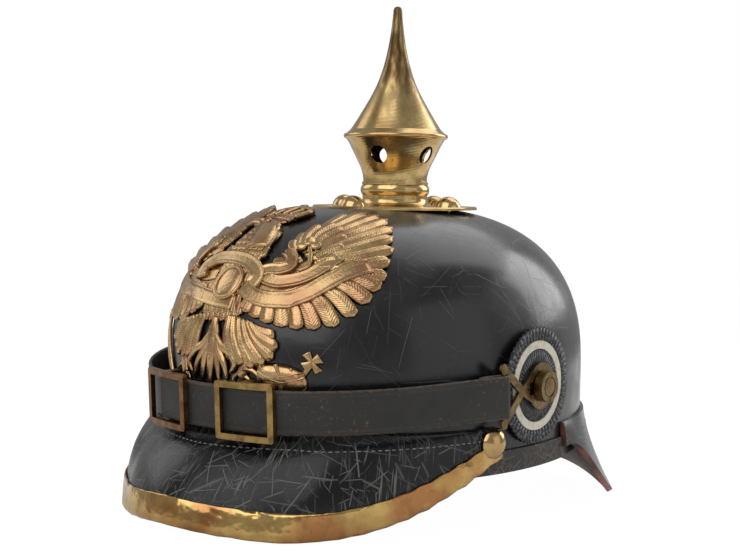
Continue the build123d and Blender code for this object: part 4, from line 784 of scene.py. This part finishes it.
strikeWing(nearWing, 0.6, 0.08)
strikeWing(farWing, 3.4, -0.08)
for roots, tips in (
    (((3, -92), (5, -92), (7.5, -92.4), (9.5, -92.8), (11.5, -93.2), (13, -93.8), (14, -94.6)),
     ((7.6, -107.6), (12.4, -109.2), (17, -109.6), (21.4, -107.4), (24.8, -104), (26, -100), (24.2, -96.2))),
    (((-11, -92), (-13, -92), (-15.5, -92.4), (-17.5, -92.8), (-19.5, -93.2), (-21, -93.8), (-22, -94.6)),
     ((-14.6, -106.4), (-18.6, -108), (-22.6, -108), (-26.6, -106.4), (-29.8, -103.4), (-31.8, -99.6), (-31, -95.4))),
):
    strikeFan(roots, tips, 2.7, 1.0, 0.0, 0.1, 1.1)
strikeScales(((-3, -92), (-3, -70)), (9.5, 9.0), 2.1, 0.9)
strikeScales(((-5, -66), (-5.6, -50)), (11.0, 6.0), 2.0, 1.7)
for points, half, base in tailStrokes:
    strike("leaf", points, half, base, 0.9)
for stroke in headStrokes + legStrokes + regaliaStrokes:
    strike(*stroke)
for points, half, base in ribbons:
    strike("band", points, half, base, steps=30)
for points, half, base in underRibbons:
    strike("feather", points, half, base, 0.5, "even", steps=20)

# Bare boss on the breast: an oval field in a rolled rim
boss = {
    "centre": (-3.0, -79.2), "halfP": 6.4, "halfQ": 6.6, "rim": 0.9, "rise": 2.4, "sunk": 0.5, "rimCrown": 0.7,
    "fieldCrown": 0.9, "points": 24,
}
bossP, bossQ = boss["centre"]
rimLine = [
    (bossP + boss["halfP"] * math.sin(a), bossQ + boss["halfQ"] * math.cos(a))
    for a in [2 * math.pi * i / boss["points"] for i in range(boss["points"] + 1)]
]
strike("round", rimLine, boss["rim"], boss["rise"], boss["rimCrown"], steps=60)
strike("round", [(bossP, bossQ - boss["halfQ"]), (bossP, bossQ + boss["halfQ"])], boss["halfP"],
       boss["rise"] - boss["sunk"], boss["fieldCrown"], "ball", steps=16)
plateValues = {"stampRise": ("FLOAT", plateMesh["rise"]), "barbPlace": ("FLOAT_VECTOR", plateMesh["barb"])}
plate = finishPiece("stampedEaglePlate", plateMesh["vertices"], plateMesh["faces"], "stampedPlateBrass", "helmet",
                    plateValues)
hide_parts("eagle_plate")
print("stamped plate:", len(plateMesh["faces"]), "faces")


# Chin strap: two leathers that follow the same line, one inside the other
strapLook = {
    "droop": 3.0, "reach": 104.5, "frontRadius": 112.0, "cornerRadius": 35.0, "turns": (14.5, 26.0, 66.0),
    "width": 17.0, "thickness": 1.6, "gap": 0.12, "rodX": 86.7, "rodReach": 27.2, "rodRadius": 0.95, "tail": 10.0,
    "edgeRound": 0.45, "postY": -13.0, "postZ": -69.6, "starts": {"left": -14.1, "right": -13.4},
    "faceMarks": ((0.12, 0.5, 0.6), (0.0, 1.0, 0.0), (0.14, 2.0, 0.3), (0.0, 2.5, 0.0), (0.0, 6.0, 0.0)),
    "backInset": 0.8, "backWear": 0.5, "tipThickness": 0.82, "tipTaper": 0.027, "rodSteps": 8, "tailSteps": 4,
}


def turned(degrees):
    a = math.radians(degrees)
    return Vector((math.sin(a), -math.cos(a))), Vector((math.cos(a), math.sin(a)))


def strapLine(inset, startTurn):  # middle of the leather in plan, with its outward normal
    look = strapLook
    front, corner, side = look["turns"]
    frontCentre = Vector((0, look["frontRadius"] - look["reach"]))
    cornerCentre = frontCentre + (look["frontRadius"] - look["cornerRadius"]) * turned(front)[0]
    cornerNormal = turned(corner)[0]
    knee = cornerCentre + (look["cornerRadius"] - inset) * cornerNormal
    sideNormal, sideTangent = turned(side)
    rod = Vector((look["rodX"], -look["rodReach"]))
    bend = look["rodRadius"] + look["thickness"] / 2
    end = rod + bend * sideNormal
    sideRadius = (end - knee).dot(sideNormal) / (sideNormal - cornerNormal).dot(sideNormal)
    stretches = (
        (frontCentre, look["frontRadius"] - inset, startTurn, front, 20),
        (cornerCentre, look["cornerRadius"] - inset, front, corner, 6),
        (knee - sideRadius * cornerNormal, sideRadius, corner, side, 30),
    )
    line = []
    for centre, radius, first, last, count in stretches:
        for i in range(count):
            normal = turned(first + (last - first) * i / count)[0]
            line.append((centre + radius * normal, normal))
    line.append((end, sideNormal))
    for i in range(1, look["rodSteps"]):
        a = math.pi * i / look["rodSteps"]
        normal = sideNormal * math.cos(a) + sideTangent * math.sin(a)
        line.append((rod + bend * normal, normal))
    for i in range(look["tailSteps"] + 1):
        line.append((rod - bend * sideNormal - sideTangent * look["tail"] * i / look["tailSteps"], -sideNormal))
    return line


def strapSection():  # outline of the leather across its width: (off the middle, along the width, wear)
    look = strapLook
    half, thick, r = look["width"] / 2, look["thickness"] / 2, look["edgeRound"]
    face = [(thick - sunk, half - inset, worn) for sunk, inset, worn in look["faceMarks"]] + [(thick, 0.0, 0.0)]
    top = face + [(n, -w, worn) for n, w, worn in reversed(face[:-1])]
    rim = [(thick - r, -half, 1.0), (0.0, -half, 1.0), (r - thick, -half, 1.0)]
    inset, worn = half - look["backInset"], look["backWear"]
    back = [(-thick, -inset, worn), (-thick, 0.0, 0.0), (-thick, inset, worn)]
    return top + rim + back + [(n, -w, edge) for n, w, edge in reversed(rim)]


def makeStrap(side, inset):
    look = strapLook
    mirror = 1 if side == "left" else -1
    droop = math.radians(look["droop"])
    vertices, faces, wear, rings = [], [], [], []
    line = strapLine(inset, look["starts"][side])
    for i, (spot, normal) in enumerate(line):
        ring = []
        atEnd = i in (0, len(line) - 1)
        shrink, taper = (look["tipThickness"], 1 - look["tipTaper"]) if atEnd else (1.0, 1.0)
        for off, along, worn in strapSection():
            flat = spot + normal * off * shrink
            along *= taper
            y = flat.y * math.cos(droop) - along * math.sin(droop) + look["postY"]
            z = flat.y * math.sin(droop) + along * math.cos(droop) + look["postZ"]
            ring.append(place(mirror * flat.x, y, z))
            wear.append(1.0 if atEnd else worn)
        rings.append(ring)
    closedTube(rings, vertices, faces)
    strap = finishPiece("strapLeather" + side.title(), vertices, faces, "rubbedStrapLeather", "chin_strap",
                        {"edgeWear": ("FLOAT", wear)})
    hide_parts("chin_strap_" + side)


makeStrap("left", 0.0)
makeStrap("right", strapLook["thickness"] + strapLook["gap"])
print("chin strap leathers made")


# Front visor: boiled leather, full under the strap and steep at its edge, which a folded brass strip holds
visorLook = {
    "wallHalfLength": 102.15, "widthShare": 84 / 102, "wallCentreY": -8.1, "centreY": -36.5, "halfWidth": 82.7,
    "reach": 102.9, "power": 1.8, "leather": 2.6, "skive": 1.3, "topZ": -81.0, "topFall": 3.2, "drop": 40.0,
    "dropShares": (0.842, 0.895, 0.94, 0.893, 0.76, 0.557, 0.36), "shelfZ": (-86.8, -84.6), "shelfTurn": (26.0, 38.0),
    "shelfGap": 0.4, "shoulder": (0.2, 0.6), "push": (0.5, 0.68), "swell": (-0.06, 0.1), "sag": (0.12, 0.42),
    "steps": 24, "smooth": 2, "rings": 120, "markRadius": 95.0,
}
trimLook = {
    "gap": 0.35, "sheet": 0.7, "outer": (8.6, 7.4), "inner": (4.5, 0.6), "narrows": (60, 88), "dents": 0.1,
    "dentWaves": (0.31, 0.113, 0.83), "outerPoints": 8, "innerPoints": 5,
}


def easeShare(value, low, high):
    t = min(max((value - low) / (high - low), 0), 1)
    return t * t * (3 - 2 * t)


def visorCurve(azimuth):  # outer face in one upright section, as radius and height, from the seam to the edge
    look = visorLook
    a = math.radians(azimuth)
    across, ahead = abs(math.sin(a)), math.cos(a)
    length, width = look["wallHalfLength"], look["wallHalfLength"] * look["widthShare"]
    run = look["centreY"] - look["wallCentreY"]
    square = (across / width) ** 2 + (ahead / length) ** 2
    single = -2 * run * ahead / length ** 2
    rest = (run / length) ** 2 - 1
    flange = (-single + math.sqrt(single ** 2 - 4 * square * rest)) / (2 * square) + look["leather"]
    power = look["power"]
    edge = ((across / look["halfWidth"]) ** power + (max(ahead, 0) / look["reach"]) ** power) ** (-1 / power)
    edge = max(edge, flange)
    share = smoothLine([(s, s) for s in look["dropShares"]], 91)[min(round(abs(azimuth)), 90)][0]
    top = look["topZ"] - look["topFall"] * across
    end = look["topZ"] - look["drop"] * share
    side = easeShare(abs(azimuth), *look["shelfTurn"])
    shelf = min(between(look["shelfZ"], side), top - look["shelfGap"])
    flare, fall = edge - flange, shelf - end
    poles = (
        (flange, shelf), (flange + between(look["push"], side) * flare, shelf - look["sag"][0] * fall),
        (edge + between(look["swell"], side) * flare, end + look["sag"][1] * fall), (edge, end),
    )
    line = [(flange - look["skive"], top), (flange - look["shoulder"][0], top + (shelf - top) * look["shoulder"][1])]
    for step in range(look["steps"] + 1):
        t = step / look["steps"]
        weights = ((1 - t) ** 3, 3 * (1 - t) ** 2 * t, 3 * (1 - t) * t * t, t ** 3)
        line.append(tuple(sum(w * p[k] for w, p in zip(weights, poles)) for k in (0, 1)))
    for _ in range(look["smooth"]):
        middle = [tuple((a + 2 * b + c) / 4 for a, b, c in zip(*three)) for three in zip(line, line[1:], line[2:])]
        line = [line[0]] + middle + [line[-1]]
    return line


def shifted(line, offset):  # the same curve, moved square to itself
    moved = []
    for i, (r, z) in enumerate(line):
        before, after = line[max(i - 1, 0)], line[min(i + 1, len(line) - 1)]
        run, fall = after[0] - before[0], after[1] - before[1]
        length = math.hypot(run, fall)
        moved.append((r - fall / length * offset, z + run / length * offset))
    return moved


def lastStretch(line, distance):  # the curve's last millimetres, from where they start
    walked, kept = 0.0, [line[-1]]
    for near, far in zip(reversed(line), reversed(line[:-1])):
        step = math.dist(near, far)
        if walked + step >= distance:
            share = (distance - walked) / step
            kept.append(tuple(n + (f - n) * share for n, f in zip(near, far)))
            break
        walked += step
        kept.append(far)
    return kept[::-1]


def roundEnd(outer, inner, count):  # half circle from one curve's end to the other's
    middle = tuple((a + b) / 2 for a, b in zip(outer, inner))
    arm = (outer[0] - middle[0], outer[1] - middle[1])
    square = (-arm[1], arm[0]) if arm[0] < 0 else (arm[1], -arm[0])
    points = []
    for i in range(1, count):
        a = math.pi * i / count
        points.append(tuple(m + u * math.cos(a) + w * math.sin(a) for m, u, w in zip(middle, arm, square)))
    return points


def visorSection(azimuth, outer, inner):
    look = visorLook
    inner[0] = (outer[0][0] - look["leather"] + look["skive"], outer[0][1])
    return outer + roundEnd(outer[-1], inner[-1], 4) + inner[::-1]


def trimSection(azimuth, outer, inner):
    look = trimLook
    narrowed = easeShare(abs(azimuth), *look["narrows"])
    a = math.radians(azimuth) * visorLook["markRadius"]
    slow, slower, quick = look["dentWaves"]
    dent = look["dents"] * (math.sin(a * slow) * math.sin(a * slower + 1) + 0.5 * math.sin(a * quick + 2))
    layers = []
    for offset, depth in ((look["gap"] + look["sheet"], dent), (look["gap"], 0.0)):
        front = lastStretch(shifted(outer, offset + depth), between(look["outer"], narrowed))
        front = smoothLine(front, look["outerPoints"])
        back = lastStretch(shifted(inner, -offset), between(look["inner"], narrowed))
        back = smoothLine(back[::-1], look["innerPoints"])
        layers.append(front + roundEnd(front[-1], back[0], 8) + back)
    return layers[0] + layers[1][::-1]


def sweepVisor(name, sectionAt, finish, node, layer=None):  # one section at each azimuth, right round the front
    vertices, faces, spots, rings = [], [], [], []
    for i in range(visorLook["rings"] + 1):
        azimuth = -90 + 180 * i / visorLook["rings"]
        a = math.radians(azimuth)
        outer = visorCurve(azimuth)
        section = sectionAt(azimuth, outer, shifted(outer, -visorLook["leather"]))
        rings.append([place(r * math.sin(a), visorLook["centreY"] - r * math.cos(a), z) for r, z in section])
        walked = 0.0
        for k, point in enumerate(section):
            walked += math.dist(point, section[k - 1]) if k else 0.0
            spots.append((a * visorLook["markRadius"], walked, 0.0))
    closedTube(rings, vertices, faces)
    values = {layer: ("FLOAT_VECTOR", spots)} if layer else None
    piece = finishPiece(name, vertices, faces, finish, "helmet", values)
    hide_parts(node)


sweepVisor("frontVisorLeather", visorSection, "crackedVisorLeather", "front_visor", "visorPlace")
sweepVisor("frontVisorTrim", trimSection, "rolledTrimBrass", "front_visor_trim")
print("front visor and its trim made")


# Lining: a sweatband and eight soft tongues that lean in over the head
liningLook = {
    "bandOuter": 97.8, "bandThickness": 1.3, "bandFoot": -101.5, "bandHeight": 26.0, "widthShare": 84 / 102,
    "centreY": -8.1, "bandRoll": 0.3, "rollShare": 0.08, "waveDepth": 0.12, "waves": 9, "bandSteps": (96, 8),
    "tongues": 8, "tongueThickness": 1.2, "footRadius": 96.35, "bendRadius": 62.0, "arcRadius": 50.0, "length": 66.0,
    "lap": 8.0, "width": 42.0, "tipWidth": 17.0, "taperPower": 1.1, "holeRadius": 1.8, "holeRow": 3, "ripple": 0.9,
    "ripples": 3.1, "tongueSteps": (8, 24),
}


def finishSheet(name, vertices, faces, wear, thickness, replaced):
    piece = finishPiece(name, vertices, faces, "tannedLiningLeather", "helmet",
                        {"edgeWear": ("FLOAT", wear)})
    wall = piece.modifiers.new("thickness", "SOLIDIFY")
    wall.thickness, wall.offset = thickness / perMetre, 0.0
    soften = piece.modifiers.new("soften", "SUBSURF")
    soften.levels = soften.render_levels = 1
    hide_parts(replaced)


def makeSweatband():
    look = liningLook
    around, up = look["bandSteps"]
    vertices, faces, wear = [], [], []
    for i in range(around):
        a = 2 * math.pi * i / around
        for j in range(up + 1):
            rise = j / up
            radius = look["bandOuter"] - look["bandThickness"] / 2
            radius -= look["bandRoll"] * math.exp(-(rise / look["rollShare"]) ** 2)
            radius -= look["waveDepth"] * (1 + math.sin(look["waves"] * a + 3 * rise)) * math.sin(math.pi * rise)
            x, y = look["widthShare"] * radius * math.sin(a), look["centreY"] - radius * math.cos(a)
            vertices.append(place(x, y, look["bandFoot"] + look["bandHeight"] * rise))
            wear.append(1.0 if j in (0, up) else 0.0)
            if j < up:
                near, far = i * (up + 1) + j, (i + 1) % around * (up + 1) + j
                faces.append((near, far, far + 1, near + 1))
    finishSheet("sweatbandLeather", vertices, faces, wear, look["bandThickness"], "sweatband")


def makeTongue(index):
    look = liningLook
    turn = 2 * math.pi / look["tongues"] * (index + 0.5)
    footX = look["widthShare"] * look["footRadius"] * math.sin(turn)
    footY = look["centreY"] - look["footRadius"] * math.cos(turn)
    facing = math.atan2(math.sin(turn) / look["widthShare"], math.cos(turn))
    reach = look["bendRadius"] - look["tongueThickness"] / 2
    rootZ = look["bandFoot"] + look["bandHeight"] - look["lap"]
    across, up = look["tongueSteps"]
    hole = (across // 2, up - look["holeRow"])
    whole = look["lap"] + look["length"]
    vertices, faces, wear = [], [], []
    for j in range(up + 1):
        along = whole * j / up
        past = max(along - look["lap"], 0)
        share = past / look["length"]
        half = look["width"] / 2 + (look["tipWidth"] - look["width"]) / 2 * share ** look["taperPower"]
        ripple = look["ripple"] * math.sin(look["ripples"] * share * math.pi + index) * share * (1 - share)
        for i in range(across + 1):
            v = 2 * i / across - 1
            x, bend, lap = half * v, past / look["arcRadius"], min(along, look["lap"])
            if abs(i - hole[0]) <= 1 and abs(j - hole[1]) <= 1 and (i, j) != hole:  # drawn in to the lacing hole's rim
                a = math.atan2(j - hole[1], i - hole[0])
                x = look["holeRadius"] * math.cos(a)
                bend += (look["holeRadius"] * math.sin(a) - whole * (j - hole[1]) / up) / look["arcRadius"]
            r = reach - look["arcRadius"] * (1 - math.cos(bend)) - ripple * math.cos(math.pi * v) - abs(ripple)
            swing = math.asin(max(min(x / r, 1), -1))
            inX, inY = r * math.sin(swing), look["bendRadius"] - r * math.cos(swing)
            px = inX * math.cos(facing) - inY * math.sin(facing) + footX
            py = inX * math.sin(facing) + inY * math.cos(facing) + footY
            vertices.append(place(px, py, rootZ + lap + look["arcRadius"] * math.sin(bend)))
            wear.append(1.0 if i in (0, across) or j == up else 0.0)
    for j in range(up):
        for i in range(across):
            if i in (hole[0] - 1, hole[0]) and j in (hole[1] - 1, hole[1]):
                continue
            low = j * (across + 1) + i
            faces.append((low, low + 1, low + across + 2, low + across + 1))
    centre = hole[1] * (across + 1) + hole[0]
    vertices.pop(centre)
    wear.pop(centre)
    faces = [tuple(k - (k > centre) for k in face) for face in faces]
    finishSheet(f"liningTongue{index + 1}", vertices, faces, wear, look["tongueThickness"], f"liner_finger_{index + 1}")


makeSweatband()
for tongueIndex in range(liningLook["tongues"]):
    makeTongue(tongueIndex)
print("lining made")


def startTree(name, sizes):  # named inputs for its sizes, and the key that sets each one on a modifier
    tree = bpy.data.node_groups.new(name, "GeometryNodeTree")
    for way in ("INPUT", "OUTPUT"):
        tree.interface.new_socket(name="Geometry", in_out=way, socket_type="NodeSocketGeometry")
    keys = {
        key: tree.interface.new_socket(name=label, in_out="INPUT", socket_type=kind).identifier
        for key, (label, kind) in sizes.items()
    }
    return tree, keys, addNode(tree, "NodeGroupInput")


def endTree(tree, points, shape, turn, finish):  # a real copy of the shape at each point
    sockets = {"Points": points, "Instance": shape, "Rotation": turn}
    placed = addNode(tree, "GeometryNodeInstanceOnPoints", None, sockets)
    real = addNode(tree, "GeometryNodeRealizeInstances", None, {0: placed})
    painted = addNode(tree, "GeometryNodeSetMaterial", None, {0: real, "Material": finishes[finish]})
    addNode(tree, "NodeGroupOutput", None, {0: painted})


def bakeTree(data, tree, values, name, finish):  # plain mesh from a tree, in place
    carrier = bpy.data.objects.new(name + "Carrier", data)
    scene.collection.objects.link(carrier)
    modifier = carrier.modifiers.new(name, "NODES")
    modifier.node_group = tree
    for identifier, value in values.items():
        modifier[identifier] = value
    graph = bpy.context.evaluated_depsgraph_get()
    mesh = bpy.data.meshes.new_from_object(carrier.evaluated_get(graph), depsgraph=graph)
    mesh.name = name
    bpy.data.objects.remove(carrier)
    return seatPiece(name, mesh, finish, "helmet")


# Seams where the visors are sewn to the shell, a few millimetres below the visors' top edges
seamLook = {
    "spacing": 2.7, "length": 1.9, "width": 0.6, "sunk": 0.12, "centreY": -8.1, "castFrom": 250, "points": 120,
    "bead": {"Segments": 8, "Rings": 6, "Radius": 0.5},
}
seams = {  # the surface, first and last azimuth, level in front, and how much it rises to the sides
    "frontVisorStitches": ("frontVisorLeather", -77, 77, -89.4, 1.2),
    "rearVisorStitches": ("rear_visor", 118, 242, -94.5, 0.0),
}


def stitchTree():  # short lying stitches, evenly spaced along a curve
    kind = "NodeSocketFloat"
    sizes = {"spacing": ("Stitch spacing", kind), "length": ("Stitch length", kind), "width": ("Thread width", kind)}
    tree, keys, entry = startTree("seamStitches", sizes)
    line = addNode(tree, "GeometryNodeResampleCurve", {"mode": "LENGTH"}, {"Curve": entry, "Length": (entry, 1)})
    bead = addNode(tree, "GeometryNodeMeshUVSphere", None, seamLook["bead"])
    size = addNode(tree, "ShaderNodeCombineXYZ", None, {0: (entry, 3), 1: (entry, 3), 2: (entry, 2)})
    sized = addNode(tree, "GeometryNodeTransform", None, {"Geometry": bead, "Scale": size})
    tangent = addNode(tree, "GeometryNodeInputTangent")
    turn = addNode(tree, "FunctionNodeAlignRotationToVector", {"axis": "Z"}, {"Vector": tangent})
    endTree(tree, line, sized, turn, "waxedLinenThread")
    return tree, keys


def seamPoints(surface, first, last, level, lift):
    tree = meshTree(surface)
    reach = seamLook["castFrom"]
    points = []
    for i in range(seamLook["points"] + 1):
        turn = math.radians(first + (last - first) * i / seamLook["points"])
        height = level + lift * abs(math.sin(turn))
        start = place(reach * math.sin(turn), seamLook["centreY"] - reach * math.cos(turn), height)
        aim = placeTurn(-math.sin(turn), math.cos(turn), 0)
        spot = tree.ray_cast(start, aim)[0]
        if spot is not None:
            points.append(spot + aim * seamLook["sunk"] / perMetre)
    return points


seamTree, seamKeys = stitchTree()
seamValues = {seamKeys[key]: seamLook[key] / perMetre for key in seamKeys}
for seamName, seam in seams.items():
    points = seamPoints(*seam)
    curve = bpy.data.curves.new(seamName, "CURVE")
    curve.dimensions = "3D"
    spline = curve.splines.new("POLY")
    spline.points.add(len(points) - 1)
    for point, spot in zip(spline.points, points):
        point.co = (*spot, 1.0)
    bakeTree(curve, seamTree, seamValues, seamName, "waxedLinenThread")
    print(seamName, len(points), "points")


# Flutes pressed into the cockades, in two rings either side of the painted band: radii and half widths at their ends
fluteLook = {
    "count": 56, "faceX": 84.72, "proud": 0.5, "sides": 8, "crestAt": 0.4,
    "rings": {"Inner": (5.6, 14.7, 0.3, 0.82), "Outer": (18.5, 23.4, 1.05, 1.3)},
}


def fluteTree():
    kind = "NodeSocketFloat"
    tree, keys, entry = startTree("cockadeFlutes", {
        "count": ("Flutes", "NodeSocketInt"), "inner": ("Inner radius", kind), "outer": ("Outer radius", kind),
        "innerHalf": ("Inner half width", kind), "outerHalf": ("Outer half width", kind), "proud": ("Rise share", kind),
    })
    length = addNode(tree, "ShaderNodeMath", {"operation": "SUBTRACT"}, {0: (entry, 3), 1: (entry, 2)})
    cone = addNode(tree, "GeometryNodeMeshCone", None, {
        "Vertices": fluteLook["sides"], "Radius Top": (entry, 5), "Radius Bottom": (entry, 4), "Depth": length})
    shift = addNode(tree, "ShaderNodeCombineXYZ", None, {2: (entry, 2)})
    flat = addNode(tree, "ShaderNodeCombineXYZ", None, {0: (entry, 6), 1: 1.0, 2: 1.0})
    ribbed = addNode(tree, "GeometryNodeTransform", None, {"Geometry": cone, "Translation": shift, "Scale": flat})
    split = addNode(tree, "ShaderNodeSeparateXYZ", None, {0: addNode(tree, "GeometryNodeInputPosition")})
    share = combine(tree, "DIVIDE", split, fluteLook["crestAt"] / perMetre)
    crest = addNode(tree, "ShaderNodeMath", {"operation": "ABSOLUTE"}, {0: share})
    marked = addNode(tree, "GeometryNodeStoreNamedAttribute", {"data_type": "FLOAT", "domain": "POINT"},
                     {"Geometry": ribbed, "Name": "crest", "Value": crest})
    points = addNode(tree, "GeometryNodePoints", None, {"Count": (entry, 1), "Position": (0.0, 0.0, 0.0)})
    step = addNode(tree, "ShaderNodeMath", {"operation": "DIVIDE"}, {0: 2 * math.pi, 1: (entry, 1)})
    angle = combine(tree, "MULTIPLY", addNode(tree, "GeometryNodeInputIndex"), step)
    turn = addNode(tree, "ShaderNodeCombineXYZ", None, {0: angle})
    endTree(tree, points, marked, addNode(tree, "FunctionNodeEulerToRotation", None, {0: turn}), "paintedFlutes")
    return tree, keys


rosetteTree, rosetteKeys = fluteTree()
for side, sign in (("Left", 1), ("Right", -1)):
    for ring, sizes in fluteLook["rings"].items():
        values = {rosetteKeys["count"]: fluteLook["count"], rosetteKeys["proud"]: fluteLook["proud"]}
        for key, size in zip(("inner", "outer", "innerHalf", "outerHalf"), sizes):
            values[rosetteKeys[key]] = size / perMetre
        name = f"cockadeFlutes{side}{ring}"
        flutes = bakeTree(bpy.data.meshes.new(name), rosetteTree, values, name, "paintedFlutes")
        flutes.data.transform(Matrix.Translation(place(sign * fluteLook["faceX"], *cockadeLook["centre"])))
print("cockade flutes made")


# Plain pale studio: white floor and five soft boxes, each with its place, size in metres and power in watts
studio = {
    "floor": "#f4f4f2", "floorReach": 6.0, "glow": 1.06, "glowShare": 0.93, "ambient": 0.3, "glossyShare": 0.12,
    "camera": (0.36267, -0.46855, 0.10966), "lens": 63.567, "sensor": 36.0, "nearest": 0.01,
    "right": (0.77680676, 0.62723568, 0.05609507), "up": (-0.05689206, -0.01881292, 0.99820307), "aim": (0, 0, 0.1),
    "lights": {
        "keySoftBox": ((0.1, -1.25, 1.05), 1.5, 12.0), "sideSoftBox": ((1.5, 0.1, 0.5), 1.2, 2.2),
        "rimSoftBox": ((0.45, 1.3, 0.7), 0.8, 6.0), "topSoftBox": ((0.0, 0.75, 1.35), 1.2, 7.0),
        "leftSoftBox": ((-1.4, -0.3, 0.8), 0.9, 3.0),
    },
}
white = (1.0, 1.0, 1.0, 1.0)


def makeFloor():  # the camera sees it glow white, the object's shadow stays, and it is clear from below
    mesh = bpy.data.meshes.new("paleFloor")
    reach = studio["floorReach"]
    corners = [(-reach, -reach, 0), (reach, -reach, 0), (reach, reach, 0), (-reach, reach, 0)]
    mesh.from_pydata(corners, [], [(0, 1, 2, 3)])
    floor = bpy.data.objects.new("paleFloor", mesh)
    scene.collection.objects.link(floor)
    material = bpy.data.materials.new("palePaperFloor")
    tree = emptyTree(material)
    matt = addNode(tree, "ShaderNodeBsdfDiffuse", None, {"Color": linearColour(studio["floor"])})
    glow = addNode(tree, "ShaderNodeEmission", None, {"Color": white, "Strength": studio["glow"]})
    share = combine(tree, "MULTIPLY", (addNode(tree, "ShaderNodeLightPath"), "Is Camera Ray"), studio["glowShare"])
    mixed = addNode(tree, "ShaderNodeMixShader", None, {0: share, 1: matt, 2: glow})
    face = addNode(tree, "ShaderNodeNewGeometry")
    clear = addNode(tree, "ShaderNodeBsdfTransparent")
    seen = addNode(tree, "ShaderNodeMixShader", None, {0: (face, "Backfacing"), 1: mixed, 2: clear})
    addNode(tree, "ShaderNodeOutputMaterial", None, {0: seen})
    mesh.materials.append(material)


def makeAir():  # dim all round, and white where the camera looks past the floor
    scene.world = bpy.data.worlds.new("paleStudio")
    tree = emptyTree(scene.world)
    path = addNode(tree, "ShaderNodeLightPath")
    glossy = combine(tree, "MULTIPLY", (path, "Is Glossy Ray"), studio["glossyShare"])
    shown = combine(tree, "MAXIMUM", (path, "Is Camera Ray"), glossy)
    ambient = (studio["ambient"],) * 3 + (1.0,)
    colour = addNode(tree, "ShaderNodeMix", {"data_type": "RGBA"}, {0: shown, 6: ambient, 7: white})
    air = addNode(tree, "ShaderNodeBackground", None, {"Color": (colour, 2), "Strength": 1.0})
    addNode(tree, "ShaderNodeOutputWorld", None, {0: air})


def makeLights():
    for name, (spot, size, power) in studio["lights"].items():
        lamp = bpy.data.lights.new(name, "AREA")
        lamp.size, lamp.energy = size, power
        holder = bpy.data.objects.new(name, lamp)
        holder.location = spot
        holder.rotation_mode = "QUATERNION"
        holder.rotation_quaternion = (Vector(studio["aim"]) - Vector(spot)).to_track_quat("-Z", "Y")
        scene.collection.objects.link(holder)


def makeCamera():
    camera = bpy.data.objects.new("studioCamera", bpy.data.cameras.new("studioCamera"))
    scene.collection.objects.link(camera)
    right, up = Vector(studio["right"]), Vector(studio["up"])
    turn = Matrix((right, up, right.cross(up))).transposed().to_4x4()
    camera.matrix_world = Matrix.Translation(Vector(studio["camera"])) @ turn
    camera.data.lens, camera.data.sensor_width = studio["lens"], studio["sensor"]
    camera.data.clip_start = studio["nearest"]
    scene.camera = camera


makeFloor()
makeAir()
makeLights()
makeCamera()
scene.view_settings.view_transform = "Standard"
print("studio ready")
